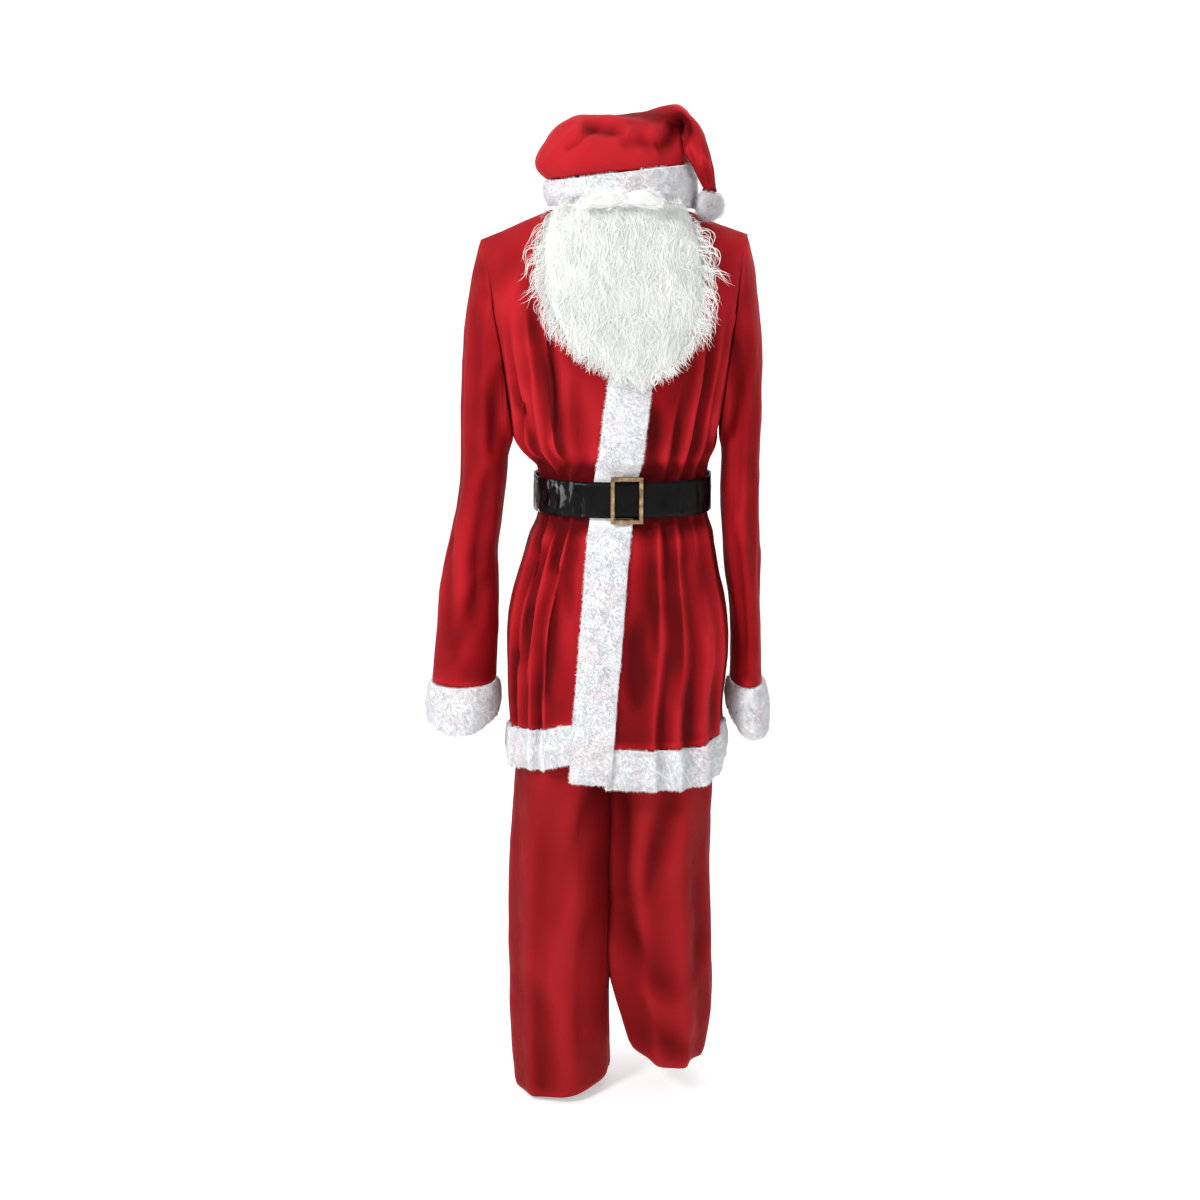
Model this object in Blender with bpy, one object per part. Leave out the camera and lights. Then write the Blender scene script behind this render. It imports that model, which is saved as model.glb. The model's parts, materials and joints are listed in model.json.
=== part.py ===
"""Santa suit: jacket with plush trim, belt, trousers, hat and beard, filled out and hollow.

Metres, +Z up. The suit faces -Y. "Right" and "left" in names are the wearer's, so the
wearer's right is -X. The origin is between the shoulders, at the height of the neck's sides.
"""

import math
from collections import namedtuple

import bpy
import numpy as np

# Driving dimensions
CLOTH = 0.0015  # velour wall
PLUSH = 0.0075  # reach of the fur out of the garment's surface
PRESSED_PLUSH = 0.0030  # the same fur under the belt
LAPPED_PLUSH = 0.0009  # the hem bands' fur under the front band
SEAM_GAP = 0.0003  # between two pieces at a seam
BAND_STANDOFF = 0.0018  # front band above the front that it laps over
PRESSED_STANDOFF = 0.0004  # the same under the belt
BAND_PLUSH = 0.0065  # reach of the front band's fur out of its standoff
FOLDED_BACK = -0.2  # cosine between two normals past which a seam is not mitred
BELT_THICKNESS = 0.0020
BELT_WIDTH = 0.048
BELT_HEIGHT = -0.373  # middle of the strap
HEM_BAND = 0.055  # height of the plush hem band
ROUNDNESS = 0.86  # under 1 makes the body's sections squarer than an ellipse

ARMPIT = -0.300
YOKE = -0.130  # level where the front and back start to turn over the shoulders
NECK_SIDE = 0.086  # half the neck opening's width
NECK_SIDE_HEIGHT = 0.004
NECK_FRONT_DEPTH = 0.062
NECK_FRONT_HEIGHT = -0.085
NECK_BACK_DEPTH = 0.058
NECK_BACK_HEIGHT = -0.012
SHOULDER_RIGHT = (-0.184, 0.0, -0.036)
SHOULDER_LEFT = (0.174, 0.0, -0.030)
NECK_CURVE = 1.4  # over 1 lets the neckline fall away more slowly from its sides
BAND_TOP = (0.004, 0.058)  # x of the front band's two edges at the neckline
BAND_SPANS = 3  # columns of the front band that lie on the wearer's right front
BAND_LAP = 0.008  # the rest of the band's width, which lies on the left front

# Jacket sections from the hem up: the sides' x, the depths in front and behind, and the x of
# the front band's edges. The armhole's edge stands off the side plane by its own depth.
Section = namedtuple("Section", "height right left front back armhole band_right band_left")
JACKET = [
    Section(-0.760, -0.150, 0.150, 0.139, 0.128, 0.000, -0.0650, -0.0080),
    Section(-0.655, -0.153, 0.151, 0.135, 0.127, 0.000, -0.0580, -0.0010),
    Section(-0.590, -0.154, 0.157, 0.130, 0.123, 0.000, -0.0530, 0.0045),
    Section(-0.525, -0.148, 0.151, 0.122, 0.116, 0.000, -0.0475, 0.0095),
    Section(-0.465, -0.131, 0.138, 0.113, 0.106, 0.000, -0.0430, 0.0140),
    Section(-0.428, -0.120, 0.132, 0.104, 0.096, 0.000, -0.0400, 0.0170),
    Section(-0.405, -0.110, 0.1245, 0.0890, 0.081, 0.000, -0.0375, 0.0195),
    Section(-0.373, -0.110, 0.1240, 0.0885, 0.080, 0.000, -0.0345, 0.0230),
    Section(-0.341, -0.111, 0.1245, 0.0890, 0.081, 0.000, -0.0300, 0.0275),
    Section(-0.322, -0.127, 0.131, 0.103, 0.096, 0.000, -0.0265, 0.0315),
    Section(-0.300, -0.142, 0.137, 0.110, 0.101, 0.000, -0.0235, 0.0350),
    Section(-0.255, -0.146, 0.141, 0.112, 0.103, 0.041, -0.0185, 0.0405),
    Section(-0.195, -0.152, 0.148, 0.111, 0.104, 0.056, -0.0100, 0.0480),
    Section(-0.130, -0.163, 0.156, 0.104, 0.100, 0.060, -0.0020, 0.0540),
]
BELT_ROWS = (-0.405, -0.373, -0.341)
LOWEST_SHARED_ROW = -0.655  # under it each panel ends at its own hem line
YOKE_ROWS = 5
SHOULDER_COLUMNS = 5
HEM_LEVEL = -0.700  # where the folds' hem values hold
CHEST_LEVEL = -0.220  # where the folds' chest values hold
FOLD_REACH = 0.05  # how far over and under the belt it flattens the folds
FOLD_SHARES = (0.8, 0.6)  # of a fold's depth, just under the belt and behind it

# Folds run down the jacket: where each lies round the body at the chest, the waist and the
# hem, in degrees from the middle of the front, and how deep it sinks there.
Fold = namedtuple("Fold", "chest waist hem chest_depth waist_depth hem_depth")
FOLDS_FRONT_RIGHT = [
    Fold(-80, -76, -81, 0.002, 0.003, 0.005),
    Fold(-65, -61, -69, 0.007, 0.006, 0.009),
    Fold(-52, -49, -54, 0.004, 0.005, 0.006),
    Fold(-39, -38, -44, 0.007, 0.006, 0.012),
    Fold(-26, -27, -33, 0.004, 0.005, 0.006),
]
FOLDS_FRONT_LEFT = [
    Fold(27, 15, 10, 0.004, 0.005, 0.004),
    Fold(40, 27, 22, 0.006, 0.005, 0.009),
    Fold(53, 41, 39, 0.007, 0.007, 0.013),
    Fold(66, 57, 60, 0.005, 0.005, 0.006),
    Fold(79, 75, 78, 0.003, 0.004, 0.007),
]
FOLDS_BACK = [
    Fold(100, 102, 101, 0.002, 0.003, 0.005),
    Fold(118, 121, 117, 0.004, 0.005, 0.008),
    Fold(137, 141, 140, 0.003, 0.004, 0.004),
    Fold(159, 161, 155, 0.004, 0.005, 0.009),
    Fold(181, 180, 178, 0.002, 0.004, 0.004),
    Fold(202, 199, 204, 0.004, 0.005, 0.007),
    Fold(222, 219, 222, 0.003, 0.004, 0.009),
    Fold(241, 239, 244, 0.004, 0.005, 0.004),
    Fold(259, 258, 261, 0.002, 0.003, 0.006),
]

# Heights of the line where the plush hem bands start, round the body in degrees.
HemPoint = namedtuple("HemPoint", "angle height")
HEM_RIGHT_FRONT = [
    HemPoint(-90, -0.702),
    HemPoint(-45, -0.688),
    HemPoint(-20, -0.672),
    HemPoint(10, -0.662),
]
HEM_LEFT_FRONT = [
    HemPoint(-10, -0.702),
    HemPoint(10, -0.707),
    HemPoint(45, -0.712),
    HemPoint(90, -0.698),
]
HEM_BACK = [
    HemPoint(90, -0.698),
    HemPoint(180, -0.705),
    HemPoint(270, -0.702),
]
HEM_DROPS = (1.0, 0.5)  # rows of a hem band, as shares of its height below the hem line
HEM_REACHES = (0.7, 1.0, 0.55)  # shares of the fur's reach on those rows and on the hem line
BAND_ROWS_BELOW = (-0.751, -0.705)  # the front band's end, and the row over it
BAND_REACHES = (0.7, 1.0, 1.0, 1.0, 0.7)  # shares of the fur's reach across the front band

# Sleeve sections from the wrist up: x of the side next to the body and of the outer side, and
# the y of the front and the back.
SleeveSection = namedtuple("SleeveSection", "height inner outer front back")
SLEEVE_RIGHT = [
    SleeveSection(-0.720, -0.172, -0.264, -0.056, 0.046),
    SleeveSection(-0.640, -0.1685, -0.2585, -0.054, 0.048),
    SleeveSection(-0.590, -0.1665, -0.2530, -0.054, 0.048),
    SleeveSection(-0.530, -0.1645, -0.2465, -0.053, 0.050),
    SleeveSection(-0.460, -0.1640, -0.2360, -0.053, 0.053),
    SleeveSection(-0.390, -0.1550, -0.2205, -0.053, 0.055),
    SleeveSection(-0.335, -0.1500, -0.2140, -0.054, 0.056),
]
SLEEVE_LEFT = [
    SleeveSection(-0.720, 0.162, 0.211, -0.040, 0.066),
    SleeveSection(-0.645, 0.1600, 0.2050, -0.036, 0.072),
    SleeveSection(-0.590, 0.1610, 0.2020, -0.036, 0.076),
    SleeveSection(-0.530, 0.1565, 0.1995, -0.040, 0.074),
    SleeveSection(-0.460, 0.1470, 0.1980, -0.047, 0.070),
    SleeveSection(-0.390, 0.1420, 0.1965, -0.054, 0.064),
    SleeveSection(-0.335, 0.1415, 0.1950, -0.056, 0.062),
]
SLEEVE_COLUMNS = 16
SLEEVE_ANGLES = [step * 360 / SLEEVE_COLUMNS for step in range(SLEEVE_COLUMNS)]
CAP_ROWS = 4
CAP_SLANT = 0.26  # how far the top of the sleeve leans out from the armhole
CAP_DROP = 0.90  # and how far it falls

# Lower edge of each cuff, round the sleeve in degrees from its front.
CuffPoint = namedtuple("CuffPoint", "angle height")
CUFF_RIGHT = [
    CuffPoint(0, -0.708),
    CuffPoint(90, -0.688),
    CuffPoint(180, -0.700),
    CuffPoint(270, -0.694),
]
CUFF_LEFT = [
    CuffPoint(0, -0.718),
    CuffPoint(90, -0.716),
    CuffPoint(180, -0.705),
    CuffPoint(270, -0.688),
]
CUFF_DROPS = (1.0, 0.62, 0.25)  # rows of a cuff, as shares of its height below the seam
CUFF_REACHES = (0.7, 1.0, 1.0, 0.55)  # shares of the fur's reach on those rows and on the seam

# Trouser sections from the hem up: x of each leg's outer and inner side, the depths in front
# and behind, and how far the two legs are one body: 0 for two legs, 1 for one.
LegSection = namedtuple("LegSection", "height right right_inner left_inner left front back joined")
TROUSERS = [
    LegSection(-1.260, -0.149, -0.0110, 0.020, 0.124, 0.088, 0.082, 0.0),
    LegSection(-1.185, -0.152, -0.0115, 0.016, 0.128, 0.089, 0.084, 0.0),
    LegSection(-1.130, -0.154, -0.0120, 0.002, 0.138, 0.091, 0.086, 0.0),
    LegSection(-1.060, -0.155, -0.0105, -0.0096, 0.139, 0.093, 0.088, 0.0),
    LegSection(-0.980, -0.155, -0.0105, -0.0096, 0.136, 0.095, 0.090, 0.0),
    LegSection(-0.890, -0.153, -0.0105, -0.0096, 0.134, 0.097, 0.092, 0.0),
    LegSection(-0.800, -0.147, -0.0105, -0.0096, 0.135, 0.098, 0.092, 0.0),
    LegSection(-0.710, -0.138, -0.0105, -0.0096, 0.133, 0.100, 0.094, 0.0),
    LegSection(-0.635, -0.135, -0.0085, -0.0076, 0.133, 0.101, 0.096, 0.0),
    LegSection(-0.605, -0.133, -0.0060, -0.0060, 0.132, 0.101, 0.096, 0.22),
    LegSection(-0.565, -0.130, -0.0040, -0.0040, 0.131, 0.100, 0.095, 0.62),
    LegSection(-0.515, -0.124, 0.0000, 0.0000, 0.128, 0.097, 0.092, 1.0),
    LegSection(-0.455, -0.110, 0.0040, 0.0040, 0.118, 0.085, 0.080, 1.0),
    LegSection(-0.415, -0.098, 0.0060, 0.0060, 0.109, 0.073, 0.067, 1.0),
    LegSection(-0.375, -0.095, 0.0060, 0.0060, 0.107, 0.069, 0.063, 1.0),
]
HEM_TROUSERS = {"right": (-1.241, -1.226), "left": (-1.196, -1.178)}  # outer and inner side
HEM_ROW_CLEARANCE = 0.02  # least height of a section above the hem

# Folds of the legs, in degrees round each leg from its front, at the waist, the thigh, the
# knee and the hem, and how deep they sink.
LegFold = namedtuple("LegFold", "waist thigh knee hem waist_depth thigh_depth knee_depth hem_depth")
LEG_FOLDS = {
    ("right", "front"): [
        LegFold(-66, -58, -56, -52, 0.002, 0.003, 0.005, 0.004),
        LegFold(-40, 8, -14, -20, 0.002, 0.003, 0.007, 0.005),
        LegFold(-16, 56, 52, 44, 0.002, 0.003, 0.004, 0.003),
    ],
    ("left", "front"): [
        LegFold(16, -52, -46, -36, 0.002, 0.004, 0.006, 0.009),
        LegFold(40, 22, -6, 8, 0.002, 0.004, 0.007, 0.003),
        LegFold(66, 62, 44, 52, 0.002, 0.003, 0.004, 0.008),
    ],
    ("right", "back"): [
        LegFold(196, 124, 130, 126, 0.002, 0.003, 0.004, 0.004),
        LegFold(220, 176, 186, 190, 0.002, 0.004, 0.007, 0.006),
        LegFold(246, 236, 232, 228, 0.002, 0.003, 0.004, 0.005),
    ],
    ("left", "back"): [
        LegFold(114, 122, 130, 124, 0.002, 0.003, 0.005, 0.006),
        LegFold(140, 184, 172, 168, 0.002, 0.004, 0.006, 0.009),
        LegFold(164, 238, 230, 236, 0.002, 0.003, 0.004, 0.004),
    ],
}
WAIST_LEVEL = -0.515
THIGH_LEVEL = -0.660
KNEE_LEVEL = -0.900
HEM_LEG_LEVEL = -1.180

# Hat rings from the band up to the tip, each as the two ends of its width in x and z, with
# its half depth and the y of its middle. The rings lean over to +X and end beside the band.
HatRing = namedtuple("HatRing", "start_x start_z end_x end_z depth middle_y")
HAT = [
    HatRing(-0.0945, 0.0400, 0.0980, 0.0610, 0.104, -0.006),
    HatRing(-0.1090, 0.0605, 0.0935, 0.0735, 0.109, -0.006),
    HatRing(-0.0985, 0.0880, 0.0905, 0.0870, 0.103, -0.005),
    HatRing(-0.0780, 0.1130, 0.0880, 0.0970, 0.088, -0.003),
    HatRing(-0.0430, 0.1250, 0.0870, 0.1025, 0.072, -0.002),
    HatRing(-0.0050, 0.1240, 0.0860, 0.1070, 0.058, -0.002),
    HatRing(0.0360, 0.1300, 0.0865, 0.1100, 0.047, -0.004),
    HatRing(0.0760, 0.1375, 0.0890, 0.1100, 0.040, -0.011),
    HatRing(0.1010, 0.1150, 0.0862, 0.1005, 0.029, -0.034),
    HatRing(0.1130, 0.0920, 0.0845, 0.0880, 0.024, -0.051),
    HatRing(0.1200, 0.0700, 0.0885, 0.0720, 0.019, -0.065),
    HatRing(0.1245, 0.0490, 0.0985, 0.0515, 0.013, -0.064),
    HatRing(0.1270, 0.0300, 0.1095, 0.0305, 0.008, -0.054),
]
HAT_BAND_FOOT = HatRing(-0.0870, 0.0085, 0.0985, 0.0070, 0.103, -0.006)
HAT_COLUMNS = 20
HAT_BAND_REACHES = (0.75, 1.0, 0.6)  # shares of the fur's reach from the band's foot to its seam
POMPOM_RADIUS = 0.0205
POMPOM_CENTRE = (0.1190, -0.0490, 0.0085)

# Beard sections from the top down: the ends' x, the y of the middle and of the ends, and the
# thickness of the fibre.
BeardRow = namedtuple("BeardRow", "height right left front side thickness")
BEARD = [
    BeardRow(-0.208, 0.005, 0.050, 0.148, 0.146, 0.012),
    BeardRow(-0.193, -0.034, 0.074, 0.151, 0.139, 0.018),
    BeardRow(-0.166, -0.068, 0.096, 0.153, 0.130, 0.024),
    BeardRow(-0.132, -0.090, 0.109, 0.155, 0.125, 0.027),
    BeardRow(-0.092, -0.101, 0.113, 0.151, 0.113, 0.027),
    BeardRow(-0.052, -0.101, 0.113, 0.143, 0.092, 0.026),
    BeardRow(-0.020, -0.096, 0.103, 0.133, 0.066, 0.022),
    BeardRow(0.000, -0.090, 0.093, 0.129, 0.058, 0.014),
    BeardRow(0.013, -0.072, 0.078, 0.131, 0.090, 0.007),
]
BEARD_COLUMNS = 14
BEARD_BULGE = 0.8  # under 1 makes the beard's sections squarer than a cosine
BEARD_EDGE = 0.35  # share of the fibre's thickness that is left at the sides

# Moustache sections across the mouth: x, height of the middle and half thickness.
LipSection = namedtuple("LipSection", "x height radius")
MOUSTACHE = [
    LipSection(-0.050, 0.0110, 0.0035),
    LipSection(-0.041, 0.0140, 0.0075),
    LipSection(-0.027, 0.0175, 0.0110),
    LipSection(-0.010, 0.0185, 0.0125),
    LipSection(0.004, 0.0185, 0.0110),
    LipSection(0.014, 0.0180, 0.0080),
    LipSection(0.024, 0.0190, 0.0105),
    LipSection(0.034, 0.0190, 0.0118),
    LipSection(0.045, 0.0160, 0.0090),
    LipSection(0.055, 0.0115, 0.0040),
]
MOUSTACHE_DEPTH = 0.1408  # of its middle in front of the origin
MOUSTACHE_SWEEP = 0.008  # how far its ends lie behind its middle
MOUSTACHE_REACH = 0.06  # half its width
MOUSTACHE_FLATNESS = 0.8  # depth of its sections for their height
MOUSTACHE_COLUMNS = 10

ELASTIC_WIDTH = 0.008
ELASTIC_THICKNESS = 0.001
ELASTIC_HEIGHT = 0.0165
ELASTIC_CENTRE = (0.006, -0.006)
ELASTIC_RADII = (0.084, 0.094)
ELASTIC_ENDS = (62, 298)  # degrees round the head from its front
ELASTIC_SPANS = 18

BELT = {"right": -0.1125, "left": 0.1265, "front": 0.0950, "back": 0.0825}
BELT_COLUMNS = 44
BUCKLE_CENTRE_X = 0.0120
BUCKLE_WIDTH = 0.0430
BUCKLE_HEIGHT = 0.0620
BUCKLE_BAR = 0.0052
BUCKLE_CENTRE_BAR = 0.0040
BUCKLE_FACE = 0.0040  # the frame's front out of the strap
BUCKLE_REAR = 0.0022  # the centre bar's back behind the strap
CLEAR_BEHIND = 0.0009  # between the strap and the bar behind it
CLEAR_AHEAD = 0.0004  # between the strap and the frame in front of it
CUTTER_DEPTH = 0.02

# Materials: colour, roughness, metallic
MATERIALS = {
    "red_velour": ((0.370, 0.006, 0.010), 0.85, 0.0),
    "white_plush": ((0.820, 0.820, 0.830), 0.90, 0.0),
    "beard_fibre": ((0.850, 0.860, 0.820), 0.80, 0.0),
    "belt_vinyl": ((0.010, 0.010, 0.011), 0.25, 0.0),
    "buckle_metal": ((0.280, 0.170, 0.090), 0.35, 1.0),
    "elastic": ((0.800, 0.800, 0.780), 0.85, 0.0),
}


def clear_scene():
    for item in list(bpy.data.objects):
        bpy.data.objects.remove(item, do_unlink=True)


def material(name):
    found = bpy.data.materials.get(name)
    if found:
        return found
    colour, roughness, metallic = MATERIALS[name]
    made = bpy.data.materials.new(name)
    made.use_nodes = True
    shader = made.node_tree.nodes["Principled BSDF"]
    shader.inputs["Base Color"].default_value = (*colour, 1.0)
    shader.inputs["Roughness"].default_value = roughness
    shader.inputs["Metallic"].default_value = metallic
    return made


def add_mesh(name, points, faces, slot):
    """One object of the suit from its points and the faces between them."""
    mesh = bpy.data.meshes.new(name)
    mesh.from_pydata([tuple(point) for point in points], [], faces)
    mesh.materials.append(material(slot))
    item = bpy.data.objects.new(name, mesh)
    bpy.data.collections["santa_suit"].objects.link(item)
    return item


def value_at(table, column, height):
    """A column of a section table at any height, in straight runs between its rows."""
    heights = [row.height for row in table]
    return float(np.interp(height, heights, [getattr(row, column) for row in table]))


def around(points, angle):
    """Height at an angle, eased between the points of a table that goes round the body."""
    angles = [point.angle for point in points]
    place = float(np.interp(angle, angles, range(len(points))))
    first = min(int(place), len(points) - 2)
    part = 0.5 - 0.5 * math.cos(math.pi * (place - first))
    return points[first].height * (1 - part) + points[first + 1].height * part


def signed_power(value, power):
    return math.copysign(abs(value) ** power, value)


def fold_place(fold, height):
    """Angle of a fold at a height."""
    stops = (HEM_LEVEL, BELT_HEIGHT, CHEST_LEVEL)
    return float(np.interp(height, stops, (fold.hem, fold.waist, fold.chest)))


def fold_sink(fold, height):
    """Depth of a fold at a height. It fades out over the shoulders."""
    under, over = BELT_HEIGHT - FOLD_REACH, BELT_HEIGHT + FOLD_REACH
    stops = (HEM_LEVEL, under, BELT_HEIGHT, over, CHEST_LEVEL, YOKE)
    low = (fold.hem_depth, FOLD_SHARES[0] * fold.hem_depth, FOLD_SHARES[1] * fold.waist_depth)
    return float(np.interp(height, stops, low + (fold.waist_depth, fold.chest_depth, 0.0)))


def folded_columns(start, folds, end, height):
    """Columns as (angle, depth): the seam, each fold with a crest between it and the next."""
    places = [fold_place(fold, height) for fold in folds]
    columns = [(start, 0.0)]
    for index, fold in enumerate(folds):
        if index:
            columns.append(((places[index - 1] + places[index]) / 2, 0.0))
        columns.append((places[index], fold_sink(fold, height)))
    return columns + [(end, 0.0)]


def body_point(column, height, behind=False):
    """A point of the jacket's surface. 0 degrees is the front and 90 the wearer's left."""
    angle, sink = column
    right = value_at(JACKET, "right", height)
    left = value_at(JACKET, "left", height)
    armhole = value_at(JACKET, "armhole", height)
    turn = math.radians(angle)
    depth = value_at(JACKET, "back" if behind else "front", height)
    across = (right + left) / 2 + (left - right) / 2 * signed_power(math.sin(turn), ROUNDNESS)
    along = armhole + (depth - armhole) * abs(math.cos(turn)) ** ROUNDNESS
    along = along if behind else -along
    return np.array((across - sink * math.sin(turn), along + sink * math.cos(turn), height))


def angle_of(x, height):
    """The angle at which the front of the jacket has this x."""
    right = value_at(JACKET, "right", height)
    left = value_at(JACKET, "left", height)
    share = (2 * x - right - left) / (left - right)
    return math.degrees(math.asin(signed_power(share, 1 / ROUNDNESS)))


def neck_point(x, back):
    """A point of the neckline at this x, on its front or its back."""
    share = max(-1.0, min(1.0, x / NECK_SIDE))
    drop = math.sqrt(1 - share**2)
    depth = NECK_BACK_DEPTH if back else -NECK_FRONT_DEPTH
    low = NECK_BACK_HEIGHT if back else NECK_FRONT_HEIGHT
    height = NECK_SIDE_HEIGHT + (low - NECK_SIDE_HEIGHT) * drop**NECK_CURVE
    return np.array((x, depth * drop, height))


def blend(start, end, count):
    return [start + (end - start) * step / count for step in range(count + 1)]


def yoke_rows(row, tops):
    """Rows that turn from the yoke line over to the neckline and the shoulder seam."""
    rows = []
    for step in range(1, YOKE_ROWS + 1):
        part = step / YOKE_ROWS
        turn = part * math.pi / 2
        mix = np.array((part, 1 - math.cos(turn), math.sin(turn)))
        rows.append([low + (top - low) * mix for low, top in zip(row, tops)])
    return rows


def shared_heights():
    return [row.height for row in JACKET if row.height >= LOWEST_SHARED_ROW]


def rows_above(hem_heights):
    """Each column's heights from the hem up to the yoke line."""
    return [hem_heights] + [[height] * len(hem_heights) for height in shared_heights()]


def band_columns(height):
    """x of the front band's columns at a height."""
    first = value_at(JACKET, "band_right", height)
    last = value_at(JACKET, "band_left", height)
    return blend(first, last - BAND_LAP, BAND_SPANS) + [last]


def band_top_columns():
    return blend(BAND_TOP[0], BAND_TOP[1] - BAND_LAP, BAND_SPANS) + [BAND_TOP[1]]


def front_columns(height, side):
    """One front's columns at a height, from the wearer's right to the left."""
    xs = band_columns(height)
    if side == "right":
        lapped = [(angle_of(x, height), 0.0) for x in xs[:-1]]
        return folded_columns(-90.0, FOLDS_FRONT_RIGHT, lapped[0][0], height)[:-1] + lapped
    under_band = [(angle_of(xs[-2], height), 0.0)]
    return under_band + folded_columns(angle_of(xs[-1], height), FOLDS_FRONT_LEFT, 90.0, height)


def back_columns(height):
    return folded_columns(90.0, FOLDS_BACK, 270.0, height)


def front_tops(side):
    """The neckline and shoulder seam of one front, column by column."""
    band = band_top_columns()
    if side == "right":
        shoulder, neck = np.array(SHOULDER_RIGHT), neck_point(-NECK_SIDE, False)
        turns = blend(-math.pi / 2, math.asin(BAND_TOP[0] / NECK_SIDE), 5)
        curve = [neck_point(NECK_SIDE * math.sin(turn), False) for turn in turns[1:-1]]
        under_band = [neck_point(x, False) for x in band[:-1]]
        return blend(shoulder, neck, SHOULDER_COLUMNS) + curve + under_band
    shoulder, neck = np.array(SHOULDER_LEFT), neck_point(NECK_SIDE, False)
    turns = blend(math.asin(BAND_TOP[1] / NECK_SIDE), math.pi / 2, 5)
    curve = [neck_point(NECK_SIDE * math.sin(turn), False) for turn in turns[:-1]]
    return [neck_point(band[-2], False)] + curve + blend(neck, shoulder, SHOULDER_COLUMNS)


def front_grid(side):
    hem = HEM_RIGHT_FRONT if side == "right" else HEM_LEFT_FRONT
    hem_heights = [around(hem, angle) for angle, _ in front_columns(HEM_LEVEL, side)]
    rows = []
    for heights in rows_above(hem_heights):
        columns = front_columns(heights[0], side)
        rows.append([body_point(column, height) for column, height in zip(columns, heights)])
    return np.array(rows + yoke_rows(rows[-1], front_tops(side)))


def back_grid():
    rows = []
    for heights in rows_above([around(HEM_BACK, angle) for angle, _ in back_columns(HEM_LEVEL)]):
        columns = back_columns(heights[0])
        rows.append([body_point(column, height, True) for column, height in zip(columns, heights)])
    left, right = neck_point(NECK_SIDE, True), neck_point(-NECK_SIDE, True)
    turns = blend(math.pi / 2, -math.pi / 2, len(rows[0]) - 1 - 2 * SHOULDER_COLUMNS)
    curve = [neck_point(NECK_SIDE * math.sin(turn), True) for turn in turns[1:-1]]
    seam_left = blend(np.array(SHOULDER_LEFT), left, SHOULDER_COLUMNS)
    seam_right = blend(right, np.array(SHOULDER_RIGHT), SHOULDER_COLUMNS)
    return np.array(rows + yoke_rows(rows[-1], seam_left + curve + seam_right))


def band_grid():
    """The jacket's surface under the front band, down to the band's own lower end."""
    rows = []
    for height in [*BAND_ROWS_BELOW, *shared_heights()]:
        xs = band_columns(height)
        rows.append([body_point((angle_of(x, height), 0.0), height) for x in xs])
    top = [neck_point(x, False) for x in band_top_columns()]
    return np.array(rows + yoke_rows(rows[-1], top))


def hem_grid(panel, columns_at, hem, behind=False):
    """The jacket's surface down from the hem line, as far as the plush band goes."""
    rows = []
    for drop in HEM_DROPS:
        row = []
        for index, (angle, _) in enumerate(columns_at(HEM_LEVEL)):
            height = around(hem, angle) - HEM_BAND * drop
            row.append(body_point(columns_at(height)[index], height, behind))
        rows.append(row)
    return np.array(rows + [list(panel[0])])


def normals_of(grid, closed):
    """Outward directions of a grid whose rows go up and whose columns go anticlockwise."""
    if closed:
        across = np.roll(grid, -1, axis=1) - np.roll(grid, 1, axis=1)
    else:
        across = np.gradient(grid, axis=1)
    normals = np.cross(across, np.gradient(grid, axis=0))
    return normals / np.linalg.norm(normals, axis=2, keepdims=True)


def shared_normals(grids):
    """Normals of several grids, made one where their edges meet, so that seams are mitred."""
    found = {name: normals_of(grid, closed) for name, (grid, closed) in grids.items()}
    meeting = {}
    for name, (grid, _) in grids.items():
        for row, column in np.ndindex(grid.shape[:2]):
            place = tuple(int(part) for part in np.round(grid[row, column] * 1e5))
            meeting.setdefault(place, []).append((name, row, column))
    for places in meeting.values():
        first = found[places[0][0]][places[0][1:]]
        alike = [item for item in places if np.dot(found[item[0]][item[1:]], first) > FOLDED_BACK]
        total = np.sum([found[place[0]][place[1:]] for place in alike], axis=0)
        for place in alike:
            found[place[0]][place[1:]] = total / np.linalg.norm(total)
    return found


def pull_back(layer, seams, gap=SEAM_GAP / 2):
    """Draws the named edges of a grid back from their seams."""
    moved = layer.copy()
    edges = {
        "foot": (layer[0], layer[1], np.s_[0, :]),
        "top": (layer[-1], layer[-2], np.s_[-1, :]),
        "first": (layer[:, 0], layer[:, 1], np.s_[:, 0]),
        "last": (layer[:, -1], layer[:, -2], np.s_[:, -1]),
    }
    for seam in seams:
        edge, inside, place = edges[seam]
        way = inside - edge
        moved[place] += gap * way / np.linalg.norm(way, axis=1, keepdims=True)
    return moved


def wall(name, grid, normals, slot, inner=-CLOTH, outer=0.0, closed=False, seams=()):
    """A sheet as one closed body, between two distances out of its surface."""
    outside = pull_back(grid + normals * np.asarray(outer)[..., None], seams)
    inside = pull_back(grid + normals * np.asarray(inner)[..., None], seams)
    rows, columns = grid.shape[:2]
    points = np.concatenate([outside.reshape(-1, 3), inside.reshape(-1, 3)])
    far = rows * columns
    spans = columns if closed else columns - 1
    faces = []
    for row in range(rows - 1):
        for column in range(spans):
            a, b = row * columns + column, row * columns + (column + 1) % columns
            c, d = b + columns, a + columns
            faces += [(a, b, c, d), (a + far, d + far, c + far, b + far)]
    for column in range(spans):
        a, b = column, (column + 1) % columns
        c, d = a + far - columns, b + far - columns
        faces += [(a, a + far, b + far, b), (c, d, d + far, c + far)]
    if not closed:
        for row in range(rows - 1):
            a, b = row * columns, (row + 1) * columns
            c, d = a + columns - 1, b + columns - 1
            faces += [(a, b, b + far, a + far), (c, c + far, d + far, d)]
    return add_mesh(name, points, faces, slot)


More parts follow.
